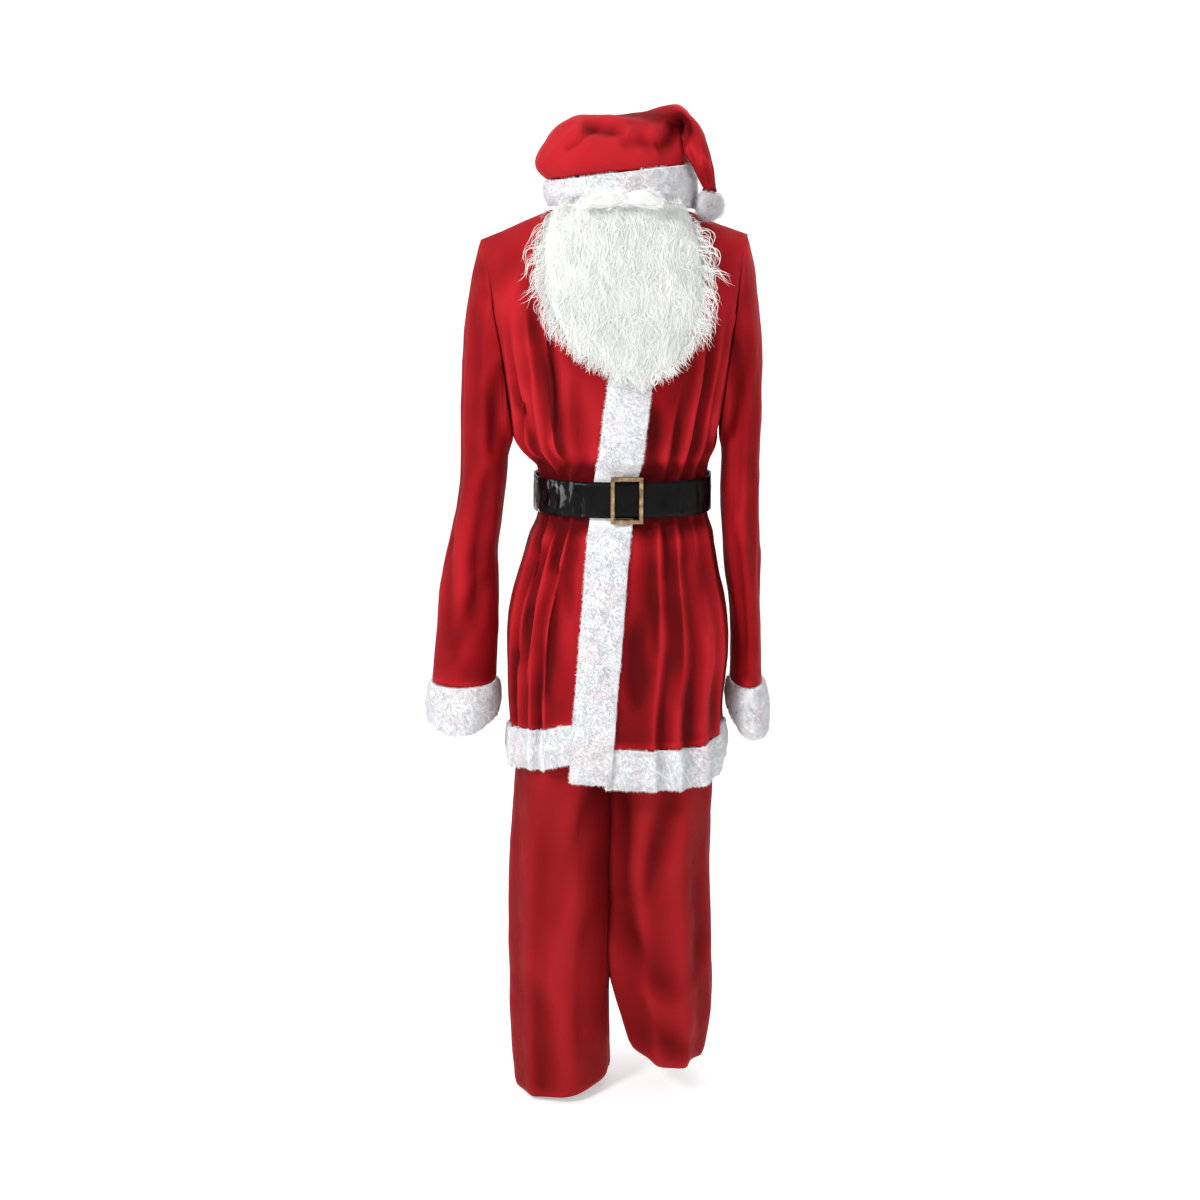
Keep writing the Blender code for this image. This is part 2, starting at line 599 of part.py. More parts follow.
def capped(name, rings, slot):
    """A closed body through rings that go anticlockwise about the way from first to last."""
    rows, columns = rings.shape[:2]
    faces = [tuple(reversed(range(columns))), tuple(range((rows - 1) * columns, rows * columns))]
    for row in range(rows - 1):
        for column in range(columns):
            a, b = row * columns + column, row * columns + (column + 1) % columns
            faces.append((a, b, b + columns, a + columns))
    return add_mesh(name, rings.reshape(-1, 3), faces, slot)


def sleeve_ring(table, height, angle):
    inner = value_at(table, "inner", height)
    outer = value_at(table, "outer", height)
    front = value_at(table, "front", height)
    back = value_at(table, "back", height)
    turn = math.radians(angle)
    across = (inner + outer) / 2 + abs(outer - inner) / 2 * math.sin(turn)
    return np.array((across, (front + back) / 2 - (back - front) / 2 * math.cos(turn), height))


def armhole_ring(front, back, side):
    """The armhole's edge as a ring, from the middle of its front, anticlockwise from above."""
    front, back = list(front), list(back)
    if side == "right":
        return np.array(front[4::-1] + back[1:] + front[7:4:-1])
    return np.array(front[4:] + back[7::-1] + front[1:4])


def sleeve_grid(table, armhole, side):
    """Rings up the sleeve, then rings that turn into the armhole."""
    rows = [[sleeve_ring(table, row.height, angle) for angle in SLEEVE_ANGLES] for row in table[1:]]
    ring = np.array(rows[-1])
    reach = np.linalg.norm(ring - armhole, axis=1, keepdims=True)
    away = np.array((-CAP_SLANT if side == "right" else CAP_SLANT, 0.0, -CAP_DROP))
    for step in range(1, CAP_ROWS):
        part = step / CAP_ROWS
        rise = np.array((0.0, 0.0, 1.0)) * reach
        turn_in = -away * reach
        rows.append(
            (2 * part**3 - 3 * part**2 + 1) * ring
            + (part**3 - 2 * part**2 + part) * rise
            + (3 * part**2 - 2 * part**3) * armhole
            + (part**3 - part**2) * turn_in
        )
    return np.array(rows + [armhole])


def cuff_grid(table, points):
    """The sleeve's surface below its seam with the cuff, down to the cuff's slanting edge."""
    seam = table[1].height
    circle = points + [CuffPoint(360, points[0].height)]
    rows = []
    for part in CUFF_DROPS:
        row = []
        for angle in SLEEVE_ANGLES:
            height = seam + part * (around(circle, angle) - seam)
            row.append(sleeve_ring(table, height, angle))
        rows.append(row)
    rows.append([sleeve_ring(table, seam, angle) for angle in SLEEVE_ANGLES])
    return np.array(rows)


def build_jacket():
    right, left, back = front_grid("right"), front_grid("left"), back_grid()
    first = 1 + shared_heights().index(ARMPIT)
    armhole_right = armhole_ring(right[first:, 0], back[first:, -1], "right")
    armhole_left = armhole_ring(left[first:, -1], back[first:, 0], "left")
    hem_right = hem_grid(right, lambda height: front_columns(height, "right"), HEM_RIGHT_FRONT)
    hem_left = hem_grid(left, lambda height: front_columns(height, "left"), HEM_LEFT_FRONT)
    hem_back = hem_grid(back, back_columns, HEM_BACK, behind=True)
    sleeve_right = sleeve_grid(SLEEVE_RIGHT, armhole_right, "right")
    sleeve_left = sleeve_grid(SLEEVE_LEFT, armhole_left, "left")
    cuff_right = cuff_grid(SLEEVE_RIGHT, CUFF_RIGHT)
    cuff_left = cuff_grid(SLEEVE_LEFT, CUFF_LEFT)
    band = band_grid()
    pieces = {
        "jacket_front_right": (right, False),
        "jacket_front_left": (left, False),
        "jacket_back": (back, False),
        "hem_band_right": (hem_right, False),
        "hem_band_left": (hem_left, False),
        "hem_band_back": (hem_back, False),
        "sleeve_right": (sleeve_right, True),
        "sleeve_left": (sleeve_left, True),
        "cuff_right": (cuff_right, True),
        "cuff_left": (cuff_left, True),
    }
    normals = shared_normals(pieces)
    around_panel = ("foot", "top", "first", "last")
    for name in ("jacket_front_right", "jacket_front_left", "jacket_back"):
        wall(name, pieces[name][0], normals[name], "red_velour", seams=around_panel)
    for name in ("sleeve_right", "sleeve_left"):
        wall(name, pieces[name][0], normals[name], "red_velour", closed=True, seams=("foot", "top"))
    for name in ("cuff_right", "cuff_left"):
        reach = np.array(CUFF_REACHES)[:, None] * PLUSH * np.ones(SLEEVE_COLUMNS)
        wall(name, pieces[name][0], normals[name], "white_plush", outer=reach, closed=True, seams=("top",))
    for name in ("hem_band_right", "hem_band_left", "hem_band_back"):
        grid = pieces[name][0]
        reach = np.array(HEM_REACHES)[:, None] * PLUSH * np.ones(grid.shape[1])
        if name == "hem_band_right":
            reach[:, -1 - BAND_SPANS :] = LAPPED_PLUSH
        if name == "hem_band_left":
            reach[:, :2] = LAPPED_PLUSH
        wall(name, grid, normals[name], "white_plush", outer=reach, seams=("top", "first", "last"))
    build_front_band(band)


def build_front_band(band):
    """The plush strip down the front's edge, pressed flat where the belt crosses it."""
    heights = band[:, 0, 2]
    pressed = np.array([bool(np.isclose(BELT_ROWS, height).any()) for height in heights])[:, None]
    shares = np.where(pressed, 1.0, np.array(BAND_REACHES))
    standoff = np.where(pressed, PRESSED_STANDOFF, BAND_STANDOFF) * np.ones(len(BAND_REACHES))
    reach = np.where(pressed, PRESSED_PLUSH - PRESSED_STANDOFF, BAND_PLUSH)
    outer = standoff + reach * shares
    wall("front_band", band, normals_of(band, False), "white_plush", inner=standoff, outer=outer)


def build_belt():
    """The strap as a loop round the waist, and the buckle that it runs through."""
    mid = (BELT["right"] + BELT["left"]) / 2
    half = (BELT["left"] - BELT["right"]) / 2
    rows = []
    for height in (BELT_HEIGHT - BELT_WIDTH / 2, BELT_HEIGHT + BELT_WIDTH / 2):
        ring = []
        for step in range(BELT_COLUMNS):
            turn = math.radians(step * 360 / BELT_COLUMNS)
            depth = BELT["front"] if math.cos(turn) > 0 else BELT["back"]
            across = mid + half * signed_power(math.sin(turn), ROUNDNESS)
            ring.append((across, -depth * signed_power(math.cos(turn), ROUNDNESS), height))
        rows.append(ring)
    grid = np.array(rows)
    normals = normals_of(grid, True)
    wall("belt_strap", grid, normals, "belt_vinyl", inner=0.0, outer=BELT_THICKNESS, closed=True)
    build_buckle()


def place_in(item, collection):
    for holder in list(item.users_collection):
        holder.objects.unlink(item)
    bpy.data.collections[collection].objects.link(item)


def block(name, size, centre, collection):
    bpy.ops.mesh.primitive_cube_add(size=1.0, location=centre)
    made = bpy.context.object
    made.name = name
    made.scale = size
    place_in(made, collection)
    return made


def build_buckle():
    """A square frame with a bar behind the strap, cut from one block."""
    strap_front = BELT["front"] + BELT_THICKNESS
    face = strap_front + BUCKLE_FACE
    rear = BELT["front"] - BUCKLE_REAR
    size = (BUCKLE_WIDTH, face - rear, BUCKLE_HEIGHT)
    centre = (BUCKLE_CENTRE_X, -(face + rear) / 2, BELT_HEIGHT)
    buckle = block("belt_buckle", size, centre, "santa_suit")
    buckle.data.materials.append(material("buckle_metal"))
    opening = BUCKLE_HEIGHT - 2 * BUCKLE_BAR
    window = (BUCKLE_WIDTH - 2 * BUCKLE_BAR, CUTTER_DEPTH, opening)
    window_y = CLEAR_BEHIND - BELT["front"] - CUTTER_DEPTH / 2
    cuts = [block("buckle_window", window, (BUCKLE_CENTRE_X, window_y, BELT_HEIGHT), "cutters")]
    gap = (BUCKLE_WIDTH, CUTTER_DEPTH, opening)
    gap_y = CUTTER_DEPTH / 2 - strap_front - CLEAR_AHEAD
    for side, name in ((-1, "buckle_gap_right"), (1, "buckle_gap_left")):
        middle = BUCKLE_CENTRE_X + side * (BUCKLE_CENTRE_BAR + BUCKLE_WIDTH) / 2
        cuts.append(block(name, gap, (middle, gap_y, BELT_HEIGHT), "cutters"))
    for tool in cuts:
        tool.display_type = "WIRE"
        tool.hide_render = True
        cut = buckle.modifiers.new(tool.name, "BOOLEAN")
        cut.operation = "DIFFERENCE"
        cut.solver = "EXACT"
        cut.object = tool


def leg_shape(side, height):
    """Middle, half width and inner x of one leg at a height."""
    outer = value_at(TROUSERS, side, height)
    inner = value_at(TROUSERS, side + "_inner", height)
    joined = value_at(TROUSERS, "joined", height)
    middle = (inner + outer) / 2 * (1 - joined) + inner * joined
    return middle, abs(outer - middle), inner


def leg_columns(side, face, height, start, end):
    """Columns as (angle, depth): the seams, the folds and the crests beside them."""
    stops = (HEM_LEG_LEVEL, KNEE_LEVEL, THIGH_LEVEL, WAIST_LEVEL)
    columns = [(start, 0.0)]
    last = start
    for fold in LEG_FOLDS[side, face]:
        place = float(np.interp(height, stops, (fold.hem, fold.knee, fold.thigh, fold.waist)))
        depths = (fold.hem_depth, fold.knee_depth, fold.thigh_depth, fold.waist_depth)
        columns.append(((last + place) / 2, 0.0))
        columns.append((place, float(np.interp(height, stops, depths))))
        last = place
    return columns + [((last + end) / 2, 0.0), (end, 0.0)]


def leg_grid(side, face):
    """One trouser panel: its columns go from seam to seam, its rows from the hem to the waist."""
    outer_hem, inner_hem = HEM_TROUSERS[side]
    lowest = inner_hem + HEM_ROW_CLEARANCE
    heights = [outer_hem] + [row.height for row in TROUSERS if row.height > lowest]
    rows = []
    for height in heights:
        middle, half, inner = leg_shape(side, height)
        inseam = math.degrees(math.asin(max(-1.0, min(1.0, (inner - middle) / half))))
        limits = (inseam, 90.0) if side == "left" else (-90.0, inseam)
        if face == "back":
            limits = (180 - limits[1], 180 - limits[0])
        depth = value_at(TROUSERS, face, height)
        row = []
        for angle, sink in leg_columns(side, face, height, *limits):
            turn = math.radians(angle)
            across = middle + (half - sink) * math.sin(turn)
            rise = 0.0
            if height == outer_hem:
                seam = middle + (half if side == "left" else -half)
                rise = (inner_hem - outer_hem) * abs(across - seam) / (2 * half)
            row.append((across, -(depth - sink) * math.cos(turn), height + rise))
        rows.append(row)
    return np.array(rows)


def build_trousers():
    pieces = {}
    for side in ("right", "left"):
        pieces[f"trouser_front_{side}"] = (leg_grid(side, "front"), False)
        pieces[f"trouser_back_{side}"] = (leg_grid(side, "back"), False)
    normals = shared_normals(pieces)
    for name, (grid, _) in pieces.items():
        wall(name, grid, normals[name], "red_velour", seams=("first", "last"))


def hat_ring(ring):
    start = np.array((ring.start_x, ring.middle_y, ring.start_z))
    end = np.array((ring.end_x, ring.middle_y, ring.end_z))
    points = []
    for step in range(HAT_COLUMNS):
        turn = math.radians(step * 360 / HAT_COLUMNS)
        depth = np.array((0.0, -ring.depth * math.cos(turn), 0.0))
        points.append((start + end) / 2 + (end - start) / 2 * math.sin(turn) + depth)
    return points


def build_hat():
    crown = np.array([hat_ring(ring) for ring in HAT])
    foot = np.array(hat_ring(HAT_BAND_FOOT))
    band = np.array([foot, foot * 0.5 + crown[0] * 0.5, crown[0]])
    pieces = {"hat_crown": (crown, True), "hat_band": (band, True)}
    normals = shared_normals(pieces)
    velour = wall("hat_crown", crown, normals["hat_crown"], "red_velour", closed=True, seams=("foot",))
    close_tip(velour)
    reach = np.array(HAT_BAND_REACHES)[:, None] * PLUSH * np.ones(HAT_COLUMNS)
    wall("hat_band", band, normals["hat_band"], "white_plush", outer=reach, closed=True, seams=("top",))
    bpy.ops.mesh.primitive_ico_sphere_add(subdivisions=2, radius=POMPOM_RADIUS, location=POMPOM_CENTRE)
    pompom = bpy.context.object
    pompom.name = "hat_pompom"
    pompom.data.materials.append(material("white_plush"))
    place_in(pompom, "santa_suit")


def close_tip(crown):
    """Replaces the rim at the crown's tip by a cap outside and a cap inside."""
    mesh = crown.data
    rows = len(HAT)
    last = range((rows - 1) * HAT_COLUMNS, rows * HAT_COLUMNS)
    far = rows * HAT_COLUMNS
    tip = set(last) | {index + far for index in last}
    kept = [tuple(face.vertices) for face in mesh.polygons if not set(face.vertices) <= tip]
    kept += [tuple(last), tuple(index + far for index in reversed(last))]
    points = [tuple(vertex.co) for vertex in mesh.vertices]
    mesh.clear_geometry()
    mesh.from_pydata(points, [], kept)


def build_beard():
    rows = []
    thickness = []
    for row in BEARD:
        line = []
        depth = []
        for step in range(BEARD_COLUMNS + 1):
            turn = (step / BEARD_COLUMNS - 0.5) * math.pi
            across = (row.right + row.left) / 2 + (row.left - row.right) / 2 * math.sin(turn)
            along = row.side + (row.front - row.side) * math.cos(turn) ** BEARD_BULGE
            line.append((across, -along, row.height))
            depth.append(-row.thickness * (BEARD_EDGE + (1 - BEARD_EDGE) * math.cos(turn)))
        rows.append(line)
        thickness.append(depth)
    grid = np.array(rows)
    normals = normals_of(grid, False)
    normals[:, :, 2] = 0.0
    normals /= np.linalg.norm(normals, axis=2, keepdims=True)
    wall("beard", grid, normals, "beard_fibre", inner=np.array(thickness))
    build_moustache()
    build_elastic()


def build_moustache():
    rings = []
    for section in MOUSTACHE:
        ring = []
        middle_y = MOUSTACHE_SWEEP * (section.x / MOUSTACHE_REACH) ** 2 - MOUSTACHE_DEPTH
        for step in range(MOUSTACHE_COLUMNS):
            turn = math.radians(step * 360 / MOUSTACHE_COLUMNS)
            along = middle_y + MOUSTACHE_FLATNESS * section.radius * math.cos(turn)
            ring.append((section.x, along, section.height + section.radius * math.sin(turn)))
        rings.append(ring)
    capped("moustache", np.array(rings), "beard_fibre")


def build_elastic():
    """The loop that holds the beard, from its top corners round the head inside the hat."""
    rows = []
    for height in (ELASTIC_HEIGHT - ELASTIC_WIDTH / 2, ELASTIC_HEIGHT + ELASTIC_WIDTH / 2):
        line = []
        for degrees in blend(*ELASTIC_ENDS, ELASTIC_SPANS):
            turn = math.radians(degrees)
            across = ELASTIC_CENTRE[0] + ELASTIC_RADII[0] * math.sin(turn)
            along = ELASTIC_CENTRE[1] - ELASTIC_RADII[1] * math.cos(turn)
            line.append((across, along, height))
        rows.append(line)
    grid = np.array(rows)
    wall("beard_elastic", grid, normals_of(grid, False), "elastic", inner=-ELASTIC_THICKNESS)


def main():
    clear_scene()
    for name in ("santa_suit", "cutters"):
        old = bpy.data.collections.get(name)
        if old:
            bpy.data.collections.remove(old)
        bpy.context.scene.collection.children.link(bpy.data.collections.new(name))
    build_jacket()
    build_belt()
    build_trousers()
    build_hat()
    build_beard()


main()
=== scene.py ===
"""Santa suit: the looks of the jacket, belt, trousers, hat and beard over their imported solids."""

import math
from collections import namedtuple

import bmesh
import bpy
import numpy as np
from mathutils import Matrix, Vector, noise
from mathutils.bvhtree import BVHTree
from mathutils.kdtree import KDTree
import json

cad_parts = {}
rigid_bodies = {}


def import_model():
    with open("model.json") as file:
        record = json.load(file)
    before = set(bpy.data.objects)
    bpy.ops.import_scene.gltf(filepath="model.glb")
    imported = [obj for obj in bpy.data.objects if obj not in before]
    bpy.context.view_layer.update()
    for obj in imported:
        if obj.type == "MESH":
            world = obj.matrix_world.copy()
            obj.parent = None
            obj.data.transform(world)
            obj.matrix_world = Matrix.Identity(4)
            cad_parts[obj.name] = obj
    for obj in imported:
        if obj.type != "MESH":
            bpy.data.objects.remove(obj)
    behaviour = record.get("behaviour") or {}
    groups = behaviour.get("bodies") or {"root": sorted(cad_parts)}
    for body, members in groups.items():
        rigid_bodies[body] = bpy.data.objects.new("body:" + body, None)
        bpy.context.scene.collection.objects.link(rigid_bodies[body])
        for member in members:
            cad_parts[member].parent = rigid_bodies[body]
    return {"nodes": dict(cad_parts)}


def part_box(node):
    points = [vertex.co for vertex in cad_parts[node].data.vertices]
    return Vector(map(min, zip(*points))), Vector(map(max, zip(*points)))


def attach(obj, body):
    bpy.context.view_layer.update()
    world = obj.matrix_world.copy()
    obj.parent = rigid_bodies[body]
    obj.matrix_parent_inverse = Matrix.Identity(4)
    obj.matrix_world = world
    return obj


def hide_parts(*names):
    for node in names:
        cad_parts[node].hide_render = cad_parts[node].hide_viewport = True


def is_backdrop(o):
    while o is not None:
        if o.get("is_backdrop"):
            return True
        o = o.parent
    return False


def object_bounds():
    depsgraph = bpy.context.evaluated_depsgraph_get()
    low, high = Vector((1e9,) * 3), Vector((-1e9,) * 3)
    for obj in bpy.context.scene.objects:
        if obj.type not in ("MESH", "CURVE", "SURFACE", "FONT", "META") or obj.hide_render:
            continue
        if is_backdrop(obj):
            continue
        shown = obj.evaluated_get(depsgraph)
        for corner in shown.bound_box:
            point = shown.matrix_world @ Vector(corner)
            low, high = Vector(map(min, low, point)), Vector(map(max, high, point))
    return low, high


for leftover in list(bpy.data.objects):
    bpy.data.objects.remove(leftover, do_unlink=True)
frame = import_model()
nodes = frame["nodes"]
packed_low, packed_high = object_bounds()
bpy.ops.object.select_all(action="DESELECT")


# ---- Studio: a camera a little above the suit, a soft key from the front left, and a floor and
# a backdrop of white acrylic, lit a little from behind.
CAMERA_PLACE = (-0.0236, -2.543, 0.0126)
CAMERA_PITCH = 78  # degrees up from straight down
CAMERA_LENS = 56.16  # mm, on a sensor of SENSOR_WIDTH
SENSOR_WIDTH = 36
FLOOR_DROP = 0.003
SHEET_SIZE = 16
BACKDROP_PLACE = (0, 7.5, 2)
SKY = (0.93, 0.94, 0.95, 1)
SKY_STRENGTH = 0.72

bpy.ops.object.camera_add(location=CAMERA_PLACE, rotation=(math.radians(CAMERA_PITCH), 0, 0))
camera = bpy.context.object
camera.data.lens = CAMERA_LENS
camera.data.sensor_width = SENSOR_WIDTH
bpy.context.scene.camera = camera


def softbox(name, place, target, size, power):
    """A round lamp that shines on one place. Sizes are in metres and power is in watts."""
    bpy.ops.object.light_add(type="AREA", location=place)
    lamp = bpy.context.object
    lamp.name = name
    lamp.rotation_euler = (Vector(target) - Vector(place)).to_track_quat("-Z", "Y").to_euler()
    lamp.data.shape = "DISK"
    lamp.data.size = size
    lamp.data.energy = power


softbox("key", (-1.7, -2.0, 1.1), (0, 0, -0.5), 0.7, 60)
softbox("fill", (1.8, -2.4, 0.4), (0, 0, -0.6), 1.6, 8)
softbox("top", (0.2, 0.2, 2.2), (0, 0, -0.4), 1.4, 18)
softbox("rim", (1.2, 2.2, 0.8), (0, 0, -0.5), 1.5, 20)

world = bpy.data.worlds.new("studio")
bpy.context.scene.world = world
world.use_nodes = True
world.node_tree.nodes["Background"].inputs["Color"].default_value = SKY
world.node_tree.nodes["Background"].inputs["Strength"].default_value = SKY_STRENGTH
bpy.context.scene.view_settings.view_transform = "Standard"


def plain_sheet(name, place, tilt, colour, glow):
    """A big flat sheet of the studio, with one plain paint that may be lit from behind."""
    bpy.ops.mesh.primitive_plane_add(size=SHEET_SIZE, location=place, rotation=(tilt, 0, 0))
    sheet = bpy.context.object
    sheet.name = name
    paint = bpy.data.materials.new(name)
    paint.use_nodes = True
    shader = paint.node_tree.nodes["Principled BSDF"]
    shader.inputs["Base Color"].default_value = (*colour, 1)
    shader.inputs["Roughness"].default_value = 0.9
    shader.inputs["Specular IOR Level"].default_value = 0.0
    shader.inputs["Emission Color"].default_value = (1, 1, 1, 1)
    shader.inputs["Emission Strength"].default_value = glow
    sheet.data.materials.append(paint)
    sheet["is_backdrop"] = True


plain_sheet("floor", (0, 0, packed_low.z - FLOOR_DROP), 0, (0.84, 0.84, 0.84), 0.40)
plain_sheet("backdrop", BACKDROP_PLACE, math.radians(90), (0.5, 0.5, 0.5), 0.72)


# ---- Red velour: short-pile knit whose nap lies in patches, brighter where it is brushed, with painted shade in its folds and painted highlight on their ridges.
# It is on every red piece. The trousers are cut from a duller lot of the same cloth.
class Amount:
    """A number that varies over a surface. Arithmetic on it adds Math nodes."""

    def __init__(self, finish, socket):
        self.finish = finish
        self.socket = socket

    def apply(self, operation, *terms):
        made = self.finish.node("ShaderNodeMath", {"operation": operation}, *terms)
        return Amount(self.finish, made.outputs[0])

    def __add__(self, other):
        return self.apply("ADD", self, other)

    def __mul__(self, other):
        return self.apply("MULTIPLY", self, other)



class Finish:
    """A material and its nodes."""

    def __init__(self, name, roughness, metallic=0.0):
        self.material = bpy.data.materials.new(name)
        self.material.use_nodes = True
        self.tree = self.material.node_tree
        self.shader = self.tree.nodes["Principled BSDF"]
        self.shader.inputs["Roughness"].default_value = roughness
        self.shader.inputs["Metallic"].default_value = metallic
        self.place = self.node("ShaderNodeTexCoord").outputs["Object"]

    def node(self, kind, settings=None, *plugs, **named):
        made = self.tree.nodes.new(kind)
        for key, value in (settings or {}).items():
            setattr(made, key, value)
        for key, value in [*enumerate(plugs), *named.items()]:
            socket = made.inputs[key.replace("_", " ") if isinstance(key, str) else key]
            source = value.socket if isinstance(value, Amount) else value
            if isinstance(source, bpy.types.NodeSocket):
                self.tree.links.new(source, socket)
            else:
                socket.default_value = source
        return made

    def stretched(self, scale):
        return self.node("ShaderNodeMapping", None, Vector=self.place, Scale=scale).outputs[0]

    def noise(self, scale, detail=2.0, place=None, roughness=0.5):
        made = self.node(
            "ShaderNodeTexNoise",
            None,
            Vector=place or self.place,
            Scale=scale,
            Detail=detail,
            Roughness=roughness,
        )
        return Amount(self, made.outputs["Fac"])

    def ramp(self, amount, *stops):
        made = self.node("ShaderNodeValToRGB", None, amount)
        band = made.color_ramp
        while len(band.elements) < len(stops):
            band.elements.new(1.0)
        for element, (place, shade) in zip(band.elements, stops):
            element.position = place
            element.color = (*shade, 1.0)
        return made.outputs["Color"]

    def grey(self, amount, low, high, start=0.0, end=1.0):
        made = self.node(
            "ShaderNodeMapRange",
            {"interpolation_type": "SMOOTHSTEP"},
            Value=amount,
            From_Min=start,
            From_Max=end,
            To_Min=low,
            To_Max=high,
        )
        return Amount(self, made.outputs["Result"])

    def mix(self, factor, first, second):
        made = self.node("ShaderNodeMix", {"data_type": "RGBA"})
        for index, value in ((0, factor), (6, first), (7, second)):
            source = value.socket if isinstance(value, Amount) else value
            if isinstance(source, bpy.types.NodeSocket):
                self.tree.links.new(source, made.inputs[index])
            else:
                made.inputs[index].default_value = source
        return made.outputs[2]

    def relief(self, height, distance, strength=1.0):
        made = self.node("ShaderNodeBump", None, Strength=strength, Distance=distance, Height=height)
        self.tree.links.new(made.outputs["Normal"], self.shader.inputs["Normal"])

    def feed(self, socket, value):
        source = value.socket if isinstance(value, Amount) else value
        self.tree.links.new(source, self.shader.inputs[socket])


def velour(name, dark, mid, bright):
    finish = Finish(name, 0.8)
    brushed = finish.noise(9.0, 3.0, finish.stretched((1.0, 1.0, 0.35)), 0.5)
    patches = finish.noise(60.0, 3.0, finish.stretched((1.0, 1.0, 0.5)), 0.6)
    pile = finish.noise(1500.0, 2.0)
    lay = Amount(finish, finish.node("ShaderNodeAttribute", {"attribute_name": "lay"}).outputs["Fac"])
    # Half of this shade is painted light: the stored rise of each point darkens the folds' troughs and
    # lightens their ridges. The rest is random patches and pile.
    shade = lay * 0.50 + brushed * 0.30 + patches * 0.10 + pile * 0.10
    finish.feed("Base Color", finish.ramp(shade, (0.24, dark), (0.5, mid), (0.76, bright)))
    finish.feed("Roughness", finish.grey(patches, 0.7, 0.88, 0.35, 0.65))
    finish.shader.inputs["Sheen Weight"].default_value = 0.25
    finish.shader.inputs["Sheen Roughness"].default_value = 0.35
    finish.shader.inputs["Sheen Tint"].default_value = (1.0, 0.08, 0.09, 1.0)
    finish.shader.inputs["Specular IOR Level"].default_value = 0.08
    finish.relief(pile * 0.4 + patches * 0.6, 0.0012, 0.35)
    return finish.material


jacket_velour = velour("jacket velour", (0.085, 0.001, 0.002), (0.24, 0.004, 0.007), (0.42, 0.012, 0.018))
trouser_velour = velour("trouser velour", (0.085, 0.001, 0.002), (0.19, 0.004, 0.006), (0.29, 0.009, 0.012))


# ---- Jacket body: back and two fronts of velour, sewn at the sides and over the shoulders.
# The cloth hangs from the shoulders, is drawn in by the belt and flares out in pleats below it.
WELD = 1e-5  # loose triangles' corners this near are one point
THIN = 0.0022  # edges shorter than this run through a cloth wall
CLOTH_WALL = 0.0015
ROUNDING_PASSES = 5
SEAM_DIP = 0.0011
SEAM_REACH = 0.0032
CREASE_STEPS = 8  # places along a crease for each of its drawn stretches
CREASE_EASING = 6
LIP_SHARE = 0.24  # height of the soft lips beside a crease, as a share of its depth
FOLD_SHADING_PASSES = 220
FOLD_SHADING_DEPTH = 0.0044  # a rise or a sink of this much gets the brightest painted highlight or the darkest painted shade
SLEEVE_FOLD_SHADING_DEPTH = 0.0064
LEG_FOLD_SHADING_DEPTH = 0.0078

Crease = namedtuple("Crease", "side line width depth")


def squareness(edge):
    """How far two triangles are, taken together, from one flat square-cornered quad."""
    first, second = edge.link_faces
    loops = [loop for face in edge.link_faces for loop in face.loops]
    corners = {}
    for loop in loops:
        corners[loop.vert] = corners.get(loop.vert, 0.0) + loop.calc_angle()
    bent = sum(abs(angle - math.pi / 2) for angle in corners.values())
    return bent + 2 * first.normal.angle(second.normal, math.pi)


def quads_of(name):
    """A CAD node's loose triangles as the quads they came from."""
    shape = bmesh.new()
    shape.from_mesh(nodes[name].data)
    bmesh.ops.remove_doubles(shape, verts=shape.verts, dist=WELD)
    shape.faces.index_update()
    free = set(shape.faces)
    diagonals = []

    def open_sides(face):
        return [edge for edge in face.edges if all(other in free for other in edge.link_faces)]

    for edge in sorted(shape.edges, key=squareness):
        waiting = [edge]
        while waiting:
            edge = waiting.pop()
            if not all(face in free for face in edge.link_faces):
                continue
            diagonals.append(edge)
            free -= set(edge.link_faces)
            beside = {other for face in edge.link_faces for side in face.edges for other in side.link_faces}
            for face in sorted(beside & free, key=lambda face: face.index):
                sides = open_sides(face)
                if len(sides) == 1:
                    waiting.append(sides[0])
    bmesh.ops.dissolve_edges(shape, edges=diagonals, use_verts=False, use_face_split=False)
    return shape


def region_from(face, rim):
    """The faces reached from one without crossing the rim."""
    found, waiting = {face}, [face]
    while waiting:
        for edge in waiting.pop().edges:
            for other in edge.link_faces:
                if other not in found and other not in rim:
                    found.add(other)
                    waiting.append(other)
    return found


def faces_out(region, core):
    return sum((face.calc_center_median() - core).dot(face.normal) * face.calc_area() for face in region)


def walked_rim(shape, rim, ladder, edge):
    """Adds the ring of narrow faces that an edge across the wall's thickness belongs to."""
    ladder.add(edge)
    face = edge.link_faces[0]
    while face not in rim:
        rim.add(face)
        edge = next(other for other in face.edges if not set(other.verts) & set(edge.verts))
        ladder.add(edge)
        face = next(other for other in edge.link_faces if other is not face)


def outer_sheet(node, name, core, levels, thin=False, rim_at=None):
    """The outside of a CAD wall as one smooth open sheet that passes through the wall's points."""
    shape = quads_of(node)
    rim, ladder = set(), set()
    if thin:
        rim = {face for face in shape.faces if min(edge.calc_length() for edge in face.edges) < THIN}
    elif rim_at:
        near = [edge for edge in shape.edges if edge.calc_length() < THIN]
        start = min(near, key=lambda edge: (edge.verts[0].co - Vector(rim_at)).length)
        walked_rim(shape, rim, ladder, start)
    while True:
        free = [face for face in shape.faces if face not in rim]
        first = region_from(free[0], rim)
        if len(first) < len(free):
            break
        spare = [edge for edge in shape.edges if edge not in ladder]
        walked_rim(shape, rim, ladder, min(spare, key=lambda edge: edge.calc_length()))
    regions = [first, region_from(next(face for face in free if face not in first), rim)]
    kept = max(regions, key=lambda region: faces_out(region, Vector(core)))
    bmesh.ops.delete(shape, geom=[face for face in shape.faces if face not in kept], context="FACES")
    mesh = bpy.data.meshes.new(name)
    shape.to_mesh(mesh)
    shape.free()
    piece = bpy.data.objects.new(name, mesh)
    bpy.context.scene.collection.objects.link(piece)
    return rounded(piece, levels)


